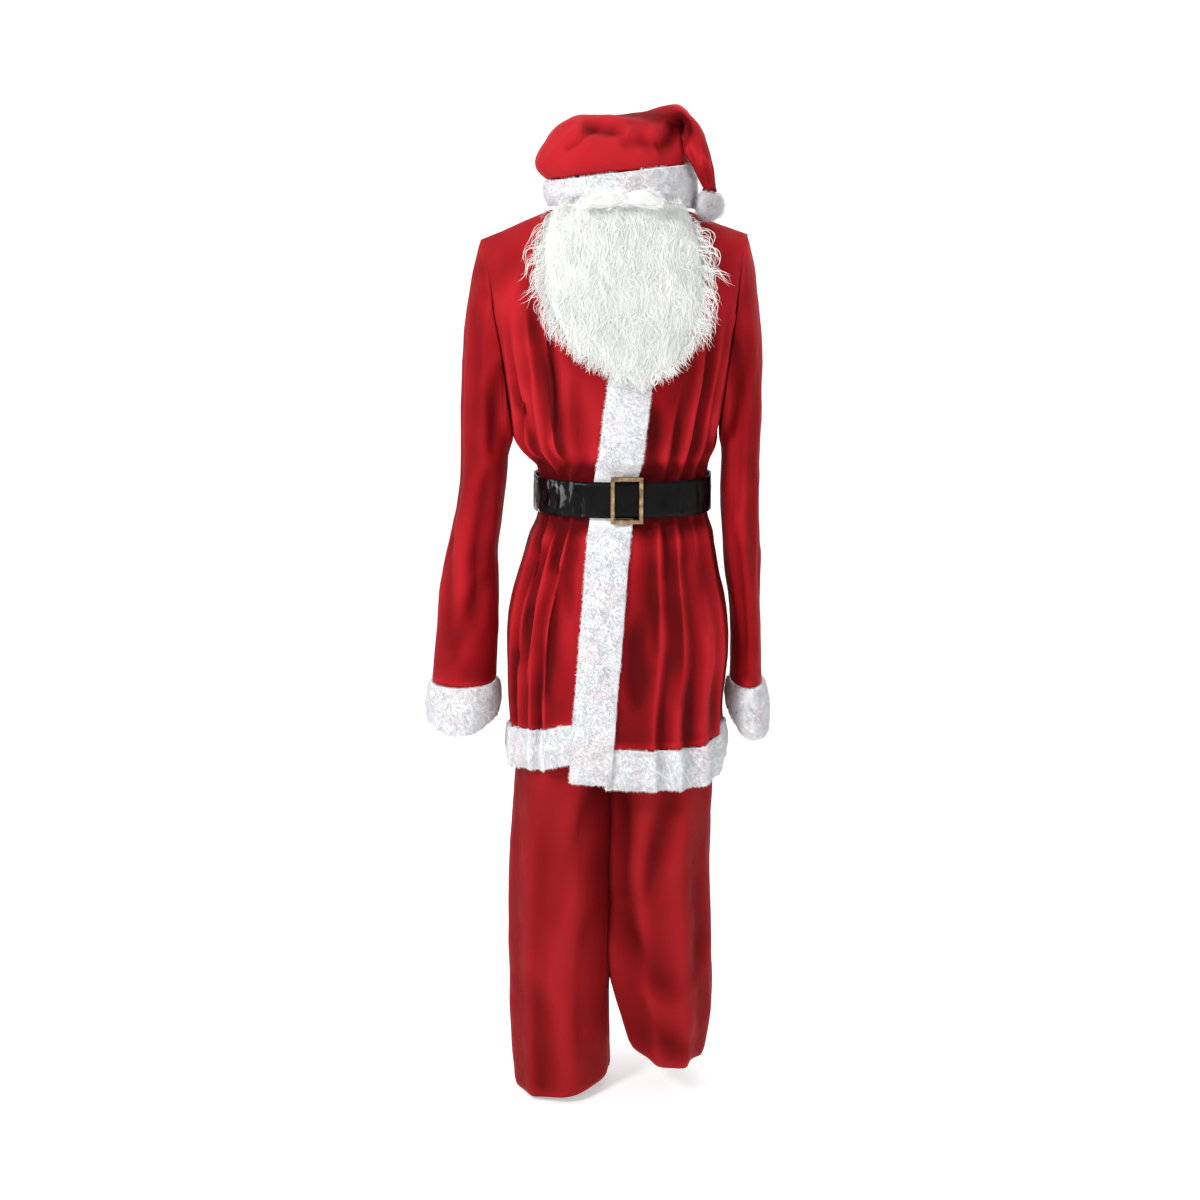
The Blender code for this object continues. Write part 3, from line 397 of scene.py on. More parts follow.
def points_of(mesh):
    found = np.empty(len(mesh.vertices) * 3, np.float32)
    mesh.vertices.foreach_get("co", found)
    return found.reshape(-1, 3).astype(float)


def put_points(mesh, points):
    mesh.vertices.foreach_set("co", points.astype(np.float32).ravel())
    mesh.update()


def normals_at(mesh):
    found = np.empty(len(mesh.vertices) * 3, np.float32)
    mesh.vertex_normals.foreach_get("vector", found)
    return found.reshape(-1, 3).astype(float)


def applied(piece, modifier):
    bpy.context.view_layer.objects.active = piece
    with bpy.context.temp_override(object=piece, active_object=piece, selected_objects=[piece]):
        bpy.ops.object.modifier_apply(modifier=modifier.name)


def rounded(piece, levels):
    """Subdivides a sheet so that the smooth surface still goes through its first points."""
    smooth = piece.modifiers.new("Rounding", "SUBSURF")
    smooth.levels = smooth.render_levels = 1
    smooth.use_limit_surface = True
    smooth.boundary_smooth = "PRESERVE_CORNERS"
    goal = points_of(piece.data)
    control = goal.copy()
    for _ in range(ROUNDING_PASSES):
        put_points(piece.data, control)
        seen = piece.evaluated_get(bpy.context.evaluated_depsgraph_get())
        control += goal - points_of(seen.data)[: len(goal)]
    put_points(piece.data, control)
    smooth.levels = smooth.render_levels = levels
    applied(piece, smooth)
    return piece


SIDES = {
    "front": Vector((0, 1, 0)),
    "back": Vector((0, -1, 0)),
    "right": Vector((1, 0, 0)),
    "left": Vector((-1, 0, 0)),
}


def laid_line(tree, side, line):
    """A line drawn on one side of a piece, followed along its surface."""
    way = SIDES[side]
    stops = np.linspace(0, len(line) - 1, CREASE_STEPS * (len(line) - 1) + 1)
    flat = [[np.interp(stop, range(len(line)), part) for part in zip(*line)] for stop in stops]
    flat = np.array(flat)
    eased = flat.copy()
    for _ in range(CREASE_EASING):
        eased[1:-1] = (eased[:-2] + 2 * eased[1:-1] + eased[2:]) / 4
    found = []
    for across, height in eased:
        start = Vector((across, 0, height)) if way.y else Vector((0, across, height))
        hit = tree.ray_cast(start - way, way)[0]
        if hit is not None:
            found.append(hit)
    return np.array(found)


def pressed_in(points, normals, path, crease):
    """How far each point moves along its normal for one crease, deepest in the middle of it."""
    starts, ways = path[:-1], np.diff(path, axis=0)
    lengths = np.maximum((ways**2).sum(1), 1e-12)
    share = np.clip(((points[:, None] - starts) * ways).sum(2) / lengths, 0, 1)
    gaps = np.linalg.norm(points[:, None] - (starts + share[..., None] * ways), axis=2)
    nearest = gaps.argmin(1)
    gap = gaps[range(len(points)), nearest]
    along = (nearest + share[range(len(points)), nearest]) / len(ways)
    fade = np.sqrt(np.clip(4 * along * (1 - along), 0, 1))
    width = crease.width * (0.9 + 0.7 * fade)
    trough = -np.exp(-((gap / width) ** 2))
    lips = LIP_SHARE * np.exp(-(((gap - 2.1 * width) / (1.1 * width)) ** 2))
    return crease.depth * fade * (trough + lips)


def creased(piece, creases):
    """Presses a sheet's creases in, one by one."""
    mesh = piece.data
    points, normals = points_of(mesh), normals_at(mesh)
    faces = [tuple(face.vertices) for face in mesh.polygons]
    tree = BVHTree.FromPolygons([Vector(p) for p in points], faces)
    total = np.zeros(len(points))
    for crease in creases:
        path = laid_line(tree, crease.side, crease.line)
        if len(path) < 2:
            continue
        reach = 4 * crease.width
        near = ((points > path.min(0) - reach) & (points < path.max(0) + reach)).all(1)
        total[near] += pressed_in(points[near], normals[near], path, crease)
    put_points(mesh, points + normals * total[:, None])


def unevened(piece, size, amount, seed):
    """Soft, wide unevenness, as in cloth that has been worn and folded."""
    mesh = piece.data
    points, normals = points_of(mesh), normals_at(mesh)
    shift = Vector((seed * 7.3, seed * 3.1, seed * 5.7))
    lift = np.array([noise.fractal(Vector(p) / size + shift, 1.0, 2.0, 2) for p in points])
    put_points(mesh, points + normals * (amount * lift)[:, None])


def edge_distance(mesh):
    """How far each point of an open sheet is from its edge, up to a few centimetres."""
    shape = bmesh.new()
    shape.from_mesh(mesh)
    rim = [point.co.copy() for point in shape.verts if point.is_boundary]
    tree = KDTree(len(rim))
    for index, place in enumerate(rim):
        tree.insert(place, index)
    tree.balance()
    gaps = np.array([tree.find(point.co)[2] for point in shape.verts])
    shape.free()
    return gaps


def tucked(piece, dip, reach):
    """Draws the cloth in along its seams and edges."""
    mesh = piece.data
    points, normals = points_of(mesh), normals_at(mesh)
    gap = edge_distance(mesh)
    put_points(mesh, points - normals * (dip * np.exp(-((gap / reach) ** 2)))[:, None])


def fold_shading_painted(piece, depth=FOLD_SHADING_DEPTH):
    """Stores how far each point stands out of the cloth around it, 1 on a ridge and 0 in a trough, to paint
    shade into the folds and highlight onto the ridges.
    """
    mesh = piece.data
    points, normals = points_of(mesh), normals_at(mesh)
    ends = np.empty(len(mesh.edges) * 2, np.int32)
    mesh.edges.foreach_get("vertices", ends)
    ends = ends.reshape(-1, 2)
    count = len(points)
    beside = np.maximum(np.bincount(ends.ravel(), minlength=count), 1)
    eased = points.copy()
    for _ in range(FOLD_SHADING_PASSES):
        for axis in range(3):
            line = eased[:, axis]
            total = np.bincount(ends[:, 0], line[ends[:, 1]], count)
            total += np.bincount(ends[:, 1], line[ends[:, 0]], count)
            eased[:, axis] = (line + total / beside) / 2
    rise = ((points - eased) * normals).sum(1)
    rise -= np.median(rise)
    store = mesh.attributes.new("lay", "FLOAT", "POINT")
    store.data.foreach_set("value", np.clip(0.5 + 0.5 * rise / depth, 0, 1).astype(np.float32))


def walled(piece, thickness):
    wall = piece.modifiers.new("Wall", "SOLIDIFY")
    wall.thickness = thickness
    wall.offset = -1
    applied(piece, wall)
    piece.data.polygons.foreach_set("use_smooth", [True] * len(piece.data.polygons))


def hung(piece, slot, material, *nodes_replaced):
    piece.data.materials.clear()
    piece.data.materials.append(material)
    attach(piece, "root")
    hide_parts(*nodes_replaced)


JACKET_FRONT_CREASES = [
    Crease("front", [(-0.120, -0.070), (-0.104, -0.170), (-0.086, -0.300)], 0.0074, 0.0046),
    Crease("front", [(-0.088, -0.140), (-0.078, -0.230), (-0.066, -0.338)], 0.0061, 0.0049),
    Crease("front", [(-0.055, -0.210), (-0.052, -0.280), (-0.046, -0.342)], 0.0054, 0.0039),
    Crease("front", [(-0.140, -0.215), (-0.118, -0.275), (-0.098, -0.338)], 0.0068, 0.0046),
    Crease("front", [(-0.100, -0.404), (-0.112, -0.480), (-0.122, -0.600)], 0.0081, 0.0052),
    Crease("front", [(-0.078, -0.402), (-0.082, -0.500), (-0.096, -0.640)], 0.0068, 0.0059),
    Crease("front", [(-0.058, -0.404), (-0.062, -0.450), (-0.064, -0.530)], 0.0054, 0.0046),
    Crease("front", [(-0.118, -0.520), (-0.135, -0.580), (-0.140, -0.660)], 0.0081, 0.0039),
    Crease("front", [(0.052, -0.240), (0.048, -0.290), (0.042, -0.340)], 0.0054, 0.0039),
    Crease("front", [(0.088, -0.110), (0.086, -0.220), (0.070, -0.336)], 0.0068, 0.0049),
    Crease("front", [(0.122, -0.140), (0.112, -0.250), (0.092, -0.338)], 0.0061, 0.0042),
    Crease("front", [(0.040, -0.404), (0.046, -0.480), (0.050, -0.580)], 0.0061, 0.0052),
    Crease("front", [(0.064, -0.402), (0.080, -0.500), (0.086, -0.650)], 0.0074, 0.0065),
    Crease("front", [(0.098, -0.404), (0.112, -0.470), (0.124, -0.560)], 0.0061, 0.0052),
    Crease("front", [(0.030, -0.520), (0.024, -0.580), (0.026, -0.650)], 0.0068, 0.0039),
]
JACKET_BACK_CREASES = [
    Crease("back", [(-0.130, -0.110), (-0.108, -0.220), (-0.092, -0.338)], 0.0074, 0.0045),
    Crease("back", [(-0.070, -0.160), (-0.058, -0.250), (-0.052, -0.340)], 0.0061, 0.0042),
    Crease("back", [(0.010, -0.220), (0.004, -0.280), (0.006, -0.340)], 0.0068, 0.0037),
    Crease("back", [(0.066, -0.120), (0.064, -0.230), (0.050, -0.338)], 0.0068, 0.0045),
    Crease("back", [(0.124, -0.150), (0.106, -0.250), (0.094, -0.338)], 0.0061, 0.0042),
    Crease("back", [(-0.088, -0.404), (-0.102, -0.500), (-0.112, -0.640)], 0.0081, 0.0057),
    Crease("back", [(-0.040, -0.404), (-0.052, -0.480), (-0.054, -0.580)], 0.0061, 0.0050),
    Crease("back", [(0.004, -0.404), (-0.004, -0.500), (0.006, -0.620)], 0.0068, 0.0045),
    Crease("back", [(0.054, -0.404), (0.060, -0.500), (0.076, -0.650)], 0.0081, 0.0057),
    Crease("back", [(0.096, -0.404), (0.114, -0.480), (0.124, -0.590)], 0.0061, 0.0047),
]
BODY_CORE = (0.0, 0.0, -0.4)
# Each panel's cut: width and length of the cloth, and its area once the shape is cut out.
Cut = namedtuple("Cut", "width length area")
BODY_PANELS = {
    "jacket_front_right": (JACKET_FRONT_CREASES, Cut(0.30, 0.72, 0.165), 1),
    "jacket_front_left": (JACKET_FRONT_CREASES, Cut(0.27, 0.72, 0.145), 2),
    "jacket_back": (JACKET_BACK_CREASES, Cut(0.48, 0.76, 0.300), 3),
}
body_panels = {}
for node, (creases, cut, seed) in BODY_PANELS.items():
    panel = outer_sheet(node, node.replace("jacket", "velour"), BODY_CORE, 3, thin=True)
    creased(panel, creases)
    unevened(panel, 0.06, 0.0016, seed)
    tucked(panel, SEAM_DIP, SEAM_REACH)
    fold_shading_painted(panel)
    walled(panel, CLOTH_WALL)
    hung(panel, "red_velour", jacket_velour, node)
    body_panels[node] = panel


# ---- Sleeves: one-piece velour tubes sewn into the armholes. They hang straight, crumpled at
# the armpit and in loose rings above the cuffs.
SLEEVE_CREASES = {
    "right": [
        Crease("front", [(-0.150, -0.180), (-0.160, -0.250), (-0.168, -0.320)], 0.0078, 0.0060),
        Crease("front", [(-0.190, -0.120), (-0.188, -0.220), (-0.196, -0.330)], 0.0091, 0.0044),
        Crease("front", [(-0.172, -0.340), (-0.190, -0.440), (-0.196, -0.560)], 0.0078, 0.0055),
        Crease("front", [(-0.224, -0.360), (-0.228, -0.470), (-0.232, -0.590)], 0.0084, 0.0044),
        Crease("front", [(-0.170, -0.480), (-0.200, -0.520), (-0.226, -0.600)], 0.0065, 0.0035),
        Crease("right", [(-0.020, -0.150), (-0.010, -0.300), (-0.020, -0.480)], 0.0091, 0.0044),
        Crease("right", [(0.020, -0.300), (0.012, -0.420), (0.020, -0.590)], 0.0078, 0.0046),
        Crease("back", [(-0.160, -0.190), (-0.176, -0.300), (-0.186, -0.420)], 0.0078, 0.0055),
        Crease("back", [(-0.210, -0.200), (-0.210, -0.350), (-0.222, -0.560)], 0.0084, 0.0046),
        Crease("back", [(-0.180, -0.480), (-0.200, -0.540), (-0.206, -0.620)], 0.0072, 0.0040),
    ],
    "left": [
        Crease("front", [(0.150, -0.120), (0.154, -0.210), (0.152, -0.300)], 0.0065, 0.0060),
        Crease("front", [(0.172, -0.160), (0.168, -0.260), (0.160, -0.400)], 0.0065, 0.0050),
        Crease("front", [(0.186, -0.200), (0.182, -0.340), (0.184, -0.500)], 0.0065, 0.0039),
        Crease("front", [(0.158, -0.420), (0.170, -0.520), (0.178, -0.630)], 0.0059, 0.0044),
        Crease("left", [(0.010, -0.130), (0.020, -0.280), (0.010, -0.460)], 0.0091, 0.0046),
        Crease("left", [(0.044, -0.300), (0.040, -0.420), (0.050, -0.600)], 0.0078, 0.0046),
        Crease("left", [(-0.020, -0.260), (-0.014, -0.380), (-0.020, -0.520)], 0.0078, 0.0040),
        Crease("back", [(0.152, -0.190), (0.166, -0.300), (0.168, -0.440)], 0.0065, 0.0051),
        Crease("back", [(0.180, -0.260), (0.180, -0.400), (0.184, -0.580)], 0.0065, 0.0040),
    ],
}
SLEEVE_CORES = {"right": (-0.20, 0.0, -0.4), "left": (0.175, 0.012, -0.4)}
SLEEVE_SEEDS = {"right": 4, "left": 5}
for side, core in SLEEVE_CORES.items():
    sleeve = outer_sheet(f"sleeve_{side}", f"velour_sleeve_{side}", core, 3, thin=True)
    creased(sleeve, SLEEVE_CREASES[side])
    unevened(sleeve, 0.055, 0.0018, SLEEVE_SEEDS[side])
    tucked(sleeve, SEAM_DIP, SEAM_REACH)
    fold_shading_painted(sleeve, SLEEVE_FOLD_SHADING_DEPTH)
    walled(sleeve, CLOTH_WALL)
    hung(sleeve, "red_velour", jacket_velour, f"sleeve_{side}")


# ---- Trousers: four velour panels sewn at the sides, the inseams and the middle. They hang
# full and loose to plain turned hems, the left leg bunched a little higher than the right.
TROUSER_FRONT_CREASES = [
    Crease("front", [(-0.020, -0.740), (-0.052, -0.840), (-0.086, -0.980)], 0.0120, 0.0055),
    Crease("front", [(-0.110, -0.760), (-0.104, -0.880), (-0.118, -1.020)], 0.0135, 0.0044),
    Crease("front", [(-0.040, -0.960), (-0.054, -1.060), (-0.050, -1.180)], 0.0105, 0.0044),
    Crease("front", [(-0.128, -1.040), (-0.100, -1.120), (-0.106, -1.220)], 0.0120, 0.0048),
    Crease("front", [(0.080, -0.750), (0.062, -0.840), (0.040, -0.940)], 0.0090, 0.0057),
    Crease("front", [(0.010, -0.760), (0.012, -0.850), (0.008, -0.950)], 0.0090, 0.0048),
    Crease("front", [(0.006, -0.960), (0.036, -1.030), (0.090, -1.080)], 0.0150, 0.0077),
    Crease("front", [(0.110, -0.900), (0.118, -0.990), (0.104, -1.070)], 0.0105, 0.0044),
    Crease("front", [(0.030, -1.080), (0.056, -1.130), (0.110, -1.160)], 0.0120, 0.0062),
]
TROUSER_BACK_CREASES = [
    Crease("back", [(-0.030, -0.700), (-0.060, -0.800), (-0.110, -0.880)], 0.0120, 0.0055),
    Crease("back", [(-0.060, -0.900), (-0.076, -1.010), (-0.066, -1.160)], 0.0120, 0.0048),
    Crease("back", [(-0.120, -0.960), (-0.110, -1.080), (-0.118, -1.200)], 0.0105, 0.0044),
    Crease("back", [(0.020, -0.700), (0.048, -0.790), (0.104, -0.860)], 0.0120, 0.0055),
    Crease("back", [(0.046, -0.890), (0.060, -0.990), (0.050, -1.110)], 0.0120, 0.0053),
    Crease("back", [(0.104, -0.940), (0.096, -1.050), (0.110, -1.150)], 0.0105, 0.0044),
]
LEG_CORES = {"right": (-0.07, 0.0, -0.9), "left": (0.065, 0.0, -0.9)}
FIRST_LEG_SEED = 6
INSEAM_X = -0.0100
INSEAM_REACH = 0.012
INSEAM_PRESS = 0.0024


def pressed_at_inseam(leg, side):
    """Brings a leg's inner side up against the other leg, with no gap between the two."""
    points = points_of(leg.data)
    toward = 1.0 if side == "right" else -1.0
    near = np.exp(-(((points[:, 0] - INSEAM_X) / INSEAM_REACH) ** 2))
    points[:, 0] += toward * INSEAM_PRESS * near
    put_points(leg.data, points)


LEG_PANELS = [(face, side) for face in ("front", "back") for side in ("right", "left")]
for seed, (face, side) in enumerate(LEG_PANELS):
    node = f"trouser_{face}_{side}"
    leg = outer_sheet(node, f"velour_{node}", LEG_CORES[side], 3, thin=True)
    creased(leg, TROUSER_FRONT_CREASES if face == "front" else TROUSER_BACK_CREASES)
    unevened(leg, 0.10, 0.0026, FIRST_LEG_SEED + seed)
    tucked(leg, SEAM_DIP, SEAM_REACH)
    pressed_at_inseam(leg, side)
    fold_shading_painted(leg, LEG_FOLD_SHADING_DEPTH)
    walled(leg, CLOTH_WALL)
    hung(leg, "red_velour", trouser_velour, node)


# ---- Plush trim: long soft pile on a knitted back, sewn to the cuffs, the hem and the edge of
# the left front, and round the hat. The pile lies in small clumps and hangs a little.
PLUSH_SKIN = 0.0022  # the skin's depth below the tips of the pile
PLUSH_BACK = 0.0027
PILE_PER_MM2 = 0.65
PILE_LENGTH = 0.0040
PILE_WIDTH = 0.0008
CLUMP_GAP = 0.0050
CLUMPING = 0.16  # how far the tips draw together
PILE_SPREAD = 0.36
TIP_RISE = 0.95  # height of a clump's top, as a share of its pile
PILE_HANG = 0.35
SKIN_PRESS = 0.75  # shares of the skin's depth and of the pile that pressing takes away
PILE_PRESS = 0.8


def plush():
    finish = Finish("white plush", 0.92)
    patches = finish.noise(55.0, 3.0)
    warm = finish.noise(22.0, 2.0)
    cool = finish.ramp(patches, (0.35, (0.76, 0.77, 0.80)), (0.6, (0.86, 0.86, 0.88)))
    blush = finish.ramp(patches, (0.35, (0.80, 0.72, 0.74)), (0.6, (0.85, 0.82, 0.82)))
    finish.feed("Base Color", finish.mix(finish.grey(warm, 0.0, 0.8, 0.5, 0.66), cool, blush))
    finish.shader.inputs["Sheen Weight"].default_value = 0.3
    finish.shader.inputs["Sheen Roughness"].default_value = 0.5
    finish.shader.inputs["Specular IOR Level"].default_value = 0.1
    finish.relief(finish.noise(420.0, 3.0), 0.0012, 0.35)
    return finish.material


plush_pile = plush()


def sampled(mesh, count, rng, wanted):
    """Places spread evenly over the faces that are wanted, with their normals."""
    mesh.calc_loop_triangles()
    points = points_of(mesh)
    corners = np.empty(len(mesh.loop_triangles) * 3, np.int32)
    mesh.loop_triangles.foreach_get("vertices", corners)
    corners = corners.reshape(-1, 3)
    a, b, c = (points[corners[:, index]] for index in range(3))
    across = np.cross(b - a, c - a)
    area = np.linalg.norm(across, axis=1) / 2
    normal = across / np.maximum(2 * area, 1e-12)[:, None]
    area = area * wanted((a + b + c) / 3, normal)
    count = count or int(area.sum() * 1e6 * PILE_PER_MM2)
    chosen = rng.choice(len(area), count, p=area / area.sum())
    u, v = rng.random(count), rng.random(count)
    flip = u + v > 1
    u[flip], v[flip] = 1 - u[flip], 1 - v[flip]
    u, v = u[:, None], v[:, None]
    return a[chosen] * (1 - u - v) + b[chosen] * u + c[chosen] * v, normal[chosen]


def unit(ways):
    return ways / np.maximum(np.linalg.norm(ways, axis=1, keepdims=True), 1e-9)


def tufts(name, roots, normals, lengths, width, rng, hang, gather):
    """One mesh of many fine pointed tufts, leaning together in clumps."""
    count = len(roots)
    spread = unit(normals + rng.normal(0, PILE_SPREAD, (count, 3)) + np.array((0, 0, -hang)))
    middles = roots[rng.choice(count, max(4, int(count * gather)), replace=False)]
    tree = KDTree(len(middles))
    for index, place in enumerate(middles):
        tree.insert(place, index)
    tree.balance()
    nearest = middles[[tree.find(root)[1] for root in roots]]
    tips = roots + spread * lengths[:, None]
    tips += CLUMPING * (nearest + normals * (TIP_RISE * lengths)[:, None] - tips)
    side = unit(np.cross(spread, rng.normal(0, 1, (count, 3))))
    other = np.cross(spread, side)
    corners = [
        roots + width * (math.cos(turn) * side + math.sin(turn) * other) / 2
        for turn in (0, 2 * math.pi / 3, 4 * math.pi / 3)
    ]
    points = np.stack([*corners, tips], axis=1).reshape(-1, 3)
    start = np.arange(count)[:, None] * 4
    faces = np.concatenate([start + np.array(face) for face in ((0, 1, 3), (1, 2, 3), (2, 0, 3))])
    mesh = bpy.data.meshes.new(name)
    mesh.from_pydata(points.tolist(), [], faces.tolist())
    mesh.polygons.foreach_set("use_smooth", [True] * len(mesh.polygons))
    mesh.materials.append(plush_pile)
    piece = bpy.data.objects.new(name, mesh)
    bpy.context.scene.collection.objects.link(piece)
    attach(piece, "root")
    return piece


def plush_piece(node, name, core, seed, pressed=None):
    """A plush strip: a soft skin just under the reach of its pile, and the pile on it."""
    rng = np.random.default_rng(seed)
    strip = outer_sheet(node, name, core, 2)
    mesh = strip.data
    points, normals = points_of(mesh), normals_at(mesh)
    flat = pressed(points) if pressed else np.zeros(len(points))
    skin = PLUSH_SKIN * (1 - SKIN_PRESS * flat)
    put_points(mesh, points - normals * skin[:, None])
    unevened(strip, 0.014, 0.0017, seed)
    walled(strip, PLUSH_BACK)
    hung(strip, "white_plush", plush_pile, node)

    def wanted(centres, ways):
        away = (centres - np.array(core)) * (1, 1, 0)
        return ((away * ways).sum(1) > -0.2 * np.linalg.norm(away, axis=1)).astype(float)

    roots, ways = sampled(mesh, 0, rng, wanted)
    lengths = PILE_LENGTH * rng.uniform(0.6, 1.1, len(roots))
    if pressed:
        lengths *= 1 - PILE_PRESS * pressed(roots)
    gather = 1 / (PILE_PER_MM2 * (CLUMP_GAP * 1000) ** 2)
    pile = tufts(name + "_pile", roots, ways, lengths, PILE_WIDTH, rng, PILE_HANG, gather)
    return strip, pile


BELT_HEIGHT = (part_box("belt_strap")[0].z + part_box("belt_strap")[1].z) / 2
PRESS_REACH = 0.034
PRESS_FADE = 0.012


def under_belt(points):
    """1 where the belt presses the plush flat, 0 clear of it."""
    gap = np.abs(points[:, 2] - BELT_HEIGHT)
    return np.clip((PRESS_REACH + PRESS_FADE - gap) / PRESS_FADE, 0, 1)


PLUSH_STRIPS = {
    "cuff_right": ((-0.215, -0.004, 0), Cut(0.27, 0.075, None), 21, None),
    "cuff_left": ((0.186, 0.016, 0), Cut(0.23, 0.075, None), 22, None),
    "front_band": (BODY_CORE, Cut(0.06, 0.70, None), 23, under_belt),
    "hem_band_right": (BODY_CORE, Cut(0.25, 0.07, None), 24, None),
    "hem_band_left": (BODY_CORE, Cut(0.20, 0.07, None), 25, None),
    "hem_band_back": (BODY_CORE, Cut(0.44, 0.07, None), 26, None),
    "hat_band": ((0.004, -0.006, 0), Cut(0.66, 0.055, None), 27, None),
}
for node, (core, cut, seed, pressed) in PLUSH_STRIPS.items():
    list(plush_piece(node, f"plush_{node}", core, seed, pressed))


# ---- Hat: a velour cone that slumps to the wearer's left, folds over and drops in front of the
# band's end, with a round plush pompom at its tip.
HAT_SEAM_END = (-0.09, -0.006, 0.04)
HAT_CREASES = [
    Crease("front", [(-0.045, 0.115), (-0.020, 0.104), (0.010, 0.100)], 0.0081, 0.0087),
    Crease("front", [(-0.070, 0.080), (-0.050, 0.092), (-0.030, 0.112)], 0.0068, 0.0058),
    Crease("front", [(0.050, 0.078), (0.070, 0.090), (0.074, 0.112)], 0.0068, 0.0072),
    Crease("front", [(0.000, 0.085), (0.030, 0.090), (0.055, 0.084)], 0.0068, 0.0052),
    Crease("front", [(0.084, 0.080), (0.092, 0.100), (0.088, 0.118)], 0.0054, 0.0043),
    Crease("back", [(-0.050, 0.100), (-0.010, 0.090), (0.040, 0.100)], 0.0095, 0.0072),
    Crease("back", [(-0.060, 0.070), (0.000, 0.076), (0.060, 0.080)], 0.0081, 0.0052),
    Crease("left", [(-0.040, 0.090), (-0.010, 0.080), (0.030, 0.076)], 0.0081, 0.0058),
]
hat_crown = outer_sheet("hat_crown", "velour_hat_crown", (0.0, -0.005, 0.07), 3, rim_at=HAT_SEAM_END)
creased(hat_crown, HAT_CREASES)
unevened(hat_crown, 0.03, 0.0018, 12)
tucked(hat_crown, SEAM_DIP, SEAM_REACH)
fold_shading_painted(hat_crown)
walled(hat_crown, CLOTH_WALL)
hung(hat_crown, "red_velour", jacket_velour, "hat_crown")

POMPOM_PILE = 0.0120
POMPOM_TUFTS = 7600
POMPOM_HANG = 0.1
POMPOM_GATHER = 0.02
rng = np.random.default_rng(31)
low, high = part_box("hat_pompom")
bpy.ops.mesh.primitive_ico_sphere_add(
    subdivisions=4, radius=(high.x - low.x) / 2 - POMPOM_PILE * 0.7, location=(low + high) / 2
)
pompom = bpy.context.object
pompom.name = "plush_pompom"
bpy.ops.object.transform_apply(location=True, rotation=True, scale=True)
unevened(pompom, 0.012, 0.0016, 13)
hung(pompom, "white_plush", plush_pile, "hat_pompom")
roots, ways = sampled(pompom.data, POMPOM_TUFTS, rng, lambda centres, normals: np.ones(len(centres)))
lengths = POMPOM_PILE * rng.uniform(0.45, 1.15, len(roots))
pompom_pile = tufts("plush_pompom_pile", roots, ways, lengths, PILE_WIDTH, rng, POMPOM_HANG, POMPOM_GATHER)


# ---- Beard and moustache: crimped white fibre on a knitted back, held by an elastic loop
# round the head. The locks fall in loose waves and curl out at the edges.
def fibre():
    finish = Finish("curled fibre", 0.75)
    locks = finish.noise(45.0, 3.0, finish.stretched((1.0, 1.0, 0.5)))
    finish.feed("Base Color", finish.ramp(locks, (0.32, (0.86, 0.88, 0.86)), (0.6, (0.95, 0.955, 0.93))))
    finish.shader.inputs["Sheen Weight"].default_value = 0.3
    finish.shader.inputs["Specular IOR Level"].default_value = 0.15
    finish.relief(finish.noise(500.0, 3.0, finish.stretched((1.0, 1.0, 0.3))), 0.0012, 0.4)
    return finish.material


curled_fibre = fibre()

STRAND_STEPS = 11
STRAND_SIDES = 3
STRAND_TAPER = ((0, 0.15, 0.7, 1), (0.5, 1, 0.85, 0.1))  # places along a strand, and its width there
ASKEW = (0.31, 0.93, 0.17)  # a way that no strand runs along


def strands(name, paths, radius):
    """One mesh of many thin tubes, each along its own path and tapering to its end."""
    count, steps = paths.shape[:2]
    ways = np.gradient(paths, axis=1)
    ways /= np.maximum(np.linalg.norm(ways, axis=2, keepdims=True), 1e-9)
    side = np.cross(ways, np.array(ASKEW))
    side /= np.maximum(np.linalg.norm(side, axis=2, keepdims=True), 1e-9)
    other = np.cross(ways, side)
    taper = radius[:, None] * np.interp(np.linspace(0, 1, steps), *STRAND_TAPER)
    rings = [
        paths + taper[..., None] * (math.cos(turn) * side + math.sin(turn) * other)
        for turn in (2 * math.pi * index / STRAND_SIDES for index in range(STRAND_SIDES))
    ]
    points = np.stack(rings, axis=2).reshape(-1, 3)
    faces = []
    start = np.arange(count)[:, None, None] * steps * STRAND_SIDES
    ring = np.arange(steps - 1)[None, :, None] * STRAND_SIDES
    for index in range(STRAND_SIDES):
        after = (index + 1) % STRAND_SIDES
        quad = start + ring + np.array((index, after, after + STRAND_SIDES, index + STRAND_SIDES))
        faces.append(quad.reshape(-1, 4))
    mesh = bpy.data.meshes.new(name)
    mesh.from_pydata(points.tolist(), [], np.concatenate(faces).tolist())
    mesh.polygons.foreach_set("use_smooth", [True] * len(mesh.polygons))
    mesh.materials.append(curled_fibre)
    piece = bpy.data.objects.new(name, mesh)
    bpy.context.scene.collection.objects.link(piece)
    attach(piece, "root")


def soft_core(node, name, shrink, levels, seed):
    """A CAD solid as a soft rounded body a little inside its own reach."""
    shape = quads_of(node)
    mesh = bpy.data.meshes.new(name)
    shape.to_mesh(mesh)
    shape.free()
    piece = bpy.data.objects.new(name, mesh)
    bpy.context.scene.collection.objects.link(piece)
    smooth = piece.modifiers.new("Rounding", "SUBSURF")
    smooth.levels = smooth.render_levels = levels
    applied(piece, smooth)
    points, normals = points_of(mesh), normals_at(mesh)
    put_points(mesh, points - normals * shrink)
    unevened(piece, 0.022, 0.0025, seed)
    mesh.polygons.foreach_set("use_smooth", [True] * len(mesh.polygons))
    return piece


